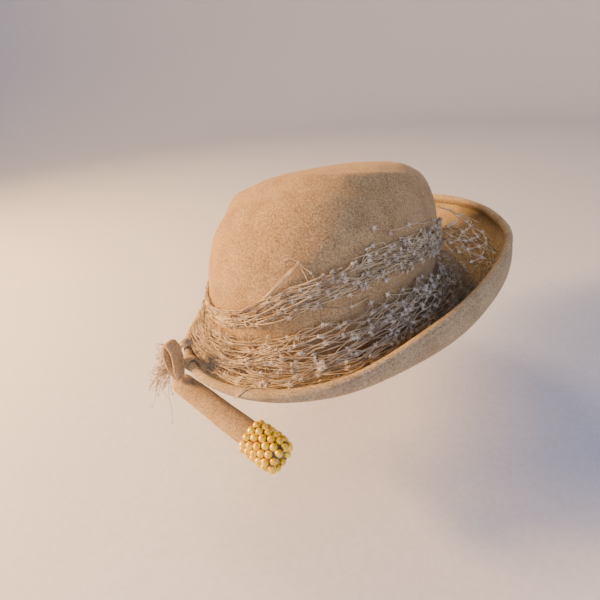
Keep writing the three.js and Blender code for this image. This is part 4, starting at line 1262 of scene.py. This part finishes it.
def tube_round(tip, heading, across, over, runs, radii, columns, seam=0.0, seam_turn=0.0):
    """Rings round the quill's axis at given runs and radii. The seam is the lap of the felt."""
    turns = np.arange(columns) * TURN / columns
    lap = ((turns - seam_turn) % TURN) / TURN
    radii = np.asarray(radii)[:, None] + seam * (lap - 0.5) * np.minimum(1, np.asarray(radii)[:, None] / 6)
    ring = np.cos(turns)[:, None] * across + np.sin(turns)[:, None] * over
    return tip + heading * np.asarray(runs)[:, None, None] + ring[None] * radii[..., None]


def make_quill():
    """A sheet of felt rolled to a tube: closed and pressed round at its tip, open in the pearls."""
    tip, heading, across, over = quill_axes()
    cap = np.linspace(0, 1, 16)
    cap_run = 0.9 * QUILL_TOP_RADIUS * (1 - np.cos(cap * math.pi / 2)) ** 1.15
    cap_radius = QUILL_TOP_RADIUS * np.sin(cap * math.pi / 2) ** 0.8
    body = np.linspace(0, 1, QUILL_ROWS)[1:]
    body_run = cap_run[-1] + (QUILL_LENGTH - cap_run[-1]) * body
    body_radius = QUILL_TOP_RADIUS + (QUILL_END_RADIUS - QUILL_TOP_RADIUS) * body
    # The inside runs back from the open end for two thirds of the quill, where a flat wall closes it
    bore_run = body_run[::-1][:QUILL_BORE_ROWS] - 0.01
    bore_radius = body_radius[::-1][:QUILL_BORE_ROWS] - QUILL_WALL
    runs = np.concatenate([cap_run[1:], body_run, [QUILL_LENGTH], bore_run])
    radii = np.concatenate([cap_radius[1:], body_radius, [QUILL_END_RADIUS - 1], bore_radius])
    columns = 96
    points = tube_round(tip, heading, across, over, runs, radii, columns, QUILL_LAP, QUILL_LAP_TURN)
    outward = unit(points - (tip + heading * np.sum((points - tip) * heading, -1, keepdims=True)))
    for depth, swell in QUILL_UNEVEN:
        points = softened(points, outward, depth, swell)
    size = points.size // 3
    faces = [*grid_faces(*points.shape[:2]), *closed_end(points[0], size, 0, True)]
    faces += closed_end(points[-1], size + 1, size - columns, False)
    everything = np.vstack([points.reshape(-1, 3), tip, points[-1].mean(0)])
    return add_piece("quill_of_felt", everything, faces, TRIM_FELT_PAINTED_LIGHT, ["quill"])


def make_cuff():
    """Rows of pearls sewn in staggered rings round the quill's open end."""
    tip, heading, across, over = quill_axes()
    bore = QUILL_END_RADIUS + SEAM
    sleeve = bore + CUFF_WALL
    full = sleeve - PEARL_SINK
    row_step = math.sqrt((2 * PEARL_RADIUS) ** 2 - (2 * full * math.sin(math.pi / PEARLS_ROUND / 2)) ** 2)
    end = QUILL_LENGTH + SEAM + CUFF_WALL
    last_row = end - PEARL_RADIUS / 2
    start = last_row - row_step * (len(CUFF_ROWS) - 1) - PEARL_RADIUS / 2

    # The sleeve that the pearls are sewn to, open at both ends, its lip inside the quill's mouth. Its dark
    # brown is painted shade between the pearls
    lip = QUILL_END_RADIUS - QUILL_WALL + SEAM
    runs = [start, start + 1, end - 1, end, end - 0.4, QUILL_LENGTH + SEAM]
    radii = [bore + 0.2, sleeve - 0.6, sleeve - 0.6, sleeve - 1.2, lip, lip]
    points = tube_round(tip, heading, across, over, runs, radii, 48)
    faces = grid_faces(*points.shape[:2])
    backing = add_piece("cuff_backing", points, faces, BACKING_PAINTED_SHADE)

    # One pearl, and then its copies
    rows, columns = 13, 22
    tilt = np.linspace(0, math.pi, rows)[:, None]
    turn = np.arange(columns)[None, :] * TURN / columns
    ball = np.stack([np.sin(tilt) * np.cos(turn), np.sin(tilt) * np.sin(turn), np.cos(tilt) + 0 * turn], -1)
    one = grid_faces(rows, columns)[:, ::-1]
    points, faces = [], []
    for k, ring in enumerate(CUFF_ROWS):
        count = PEARLS_ROUND if k + 1 < len(CUFF_ROWS) else PEARLS_LAST_ROW
        for i in range(count):
            angle = TURN * (i + k % 2 / 2) / count + 0.02 * scatter.normal()
            out = across * math.cos(angle) - over * math.sin(angle)
            place = tip + heading * (last_row - row_step * (len(CUFF_ROWS) - 1 - k)) + out * full * ring
            shape = ball * PEARL_RADIUS * scatter.uniform(0.96, 1.0, 3)
            faces += [*(one + len(points) * rows * columns)]
            points.append(place + shape.reshape(-1, 3) @ np.stack([across, over, heading]))
    pearls = add_piece("pearls_of_cuff", np.vstack(points), faces, GOLD_PEARL, ["pearl_cuff"])
    return backing, pearls


# Stage


def make_cove():
    """A pale round floor that curves up into a wall, so that every view has a plain ground."""
    floor = cad_box[0][2] / MM - COVE_DROP
    profile = [(0, floor), (400, floor), (COVE_FLOOR, floor)]
    for turn in np.linspace(0.1, math.pi / 2, 12):
        profile.append((COVE_FLOOR + COVE_BEND * math.sin(turn), floor + COVE_BEND * (1 - math.cos(turn))))
    profile.append((COVE_FLOOR + COVE_BEND, floor + COVE_WALL))
    turns = np.arange(72) * TURN / 72
    points = np.array([[(r * math.cos(t), r * math.sin(t), z) for t in turns] for r, z in profile])
    mesh = bpy.data.meshes.new("cove")
    mesh.from_pydata((points.reshape(-1, 3) * MM).tolist(), [], grid_faces(*points.shape[:2]).tolist())
    mesh.polygons.foreach_set("use_smooth", [True] * len(mesh.polygons))
    mesh.materials.append(COVE)
    cove = bpy.data.objects.new("cove", mesh)
    bpy.context.scene.collection.objects.link(cove)


def add_light(name, place, aim, size, power, colour):
    """A round soft lamp at a place, turned to shine on another."""
    data = bpy.data.lights.new(name, "AREA")
    data.shape, data.size, data.energy, data.color = "DISK", size, power, srgb(colour)[:3]
    lamp = bpy.data.objects.new(name, data)
    lamp.location = Vector(place)
    lamp.rotation_euler = (Vector(aim) - Vector(place)).to_track_quat("-Z", "Y").to_euler()
    bpy.context.scene.collection.objects.link(lamp)


def make_studio():
    """A pale cove in a cool room, with a warm key lamp, a small warm lamp above and a cool fill."""
    make_cove()
    for lamp in LAMPS:
        add_light(**lamp)
    world = bpy.data.worlds.new("room")
    world.use_nodes = True
    room = world.node_tree.nodes["Background"].inputs
    room["Color"].default_value = srgb(ROOM_COLOUR)
    room["Strength"].default_value = ROOM_STRENGTH
    bpy.context.scene.world = world


def make_camera():
    """The camera looks from the wearer's left front and from above, and leans a little."""
    data = bpy.data.cameras.new("camera")
    data.lens, data.sensor_width, data.clip_start = CAMERA_LENS, CAMERA_FILM, 10 * MM
    camera = bpy.data.objects.new("camera", data)
    placed = Matrix.Translation(Vector(CAMERA_PLACE) * MM)
    turned = Matrix.Rotation(CAMERA_ANGLE + TURN / 4, 4, "Z")
    tipped = Matrix.Rotation(TURN / 4 - CAMERA_RISE, 4, "X")
    camera.matrix_world = placed @ turned @ tipped @ Matrix.Rotation(CAMERA_LEAN, 4, "Z")
    bpy.context.scene.collection.objects.link(camera)
    bpy.context.scene.camera = camera


make_crown()
make_brim()
make_hem_stitches()
make_veil("veil_upper_net", on_upper_band, UPPER_NET, "veil_upper")
make_veil("veil_lower_net", on_lower_band, LOWER_NET, "veil_lower")
make_drawn_folds()
make_frizz()
make_stray_strands()
make_veil_tail()
make_strap()
loop = make_loop()
quill = make_quill()
make_cuff()
make_studio()
make_camera()
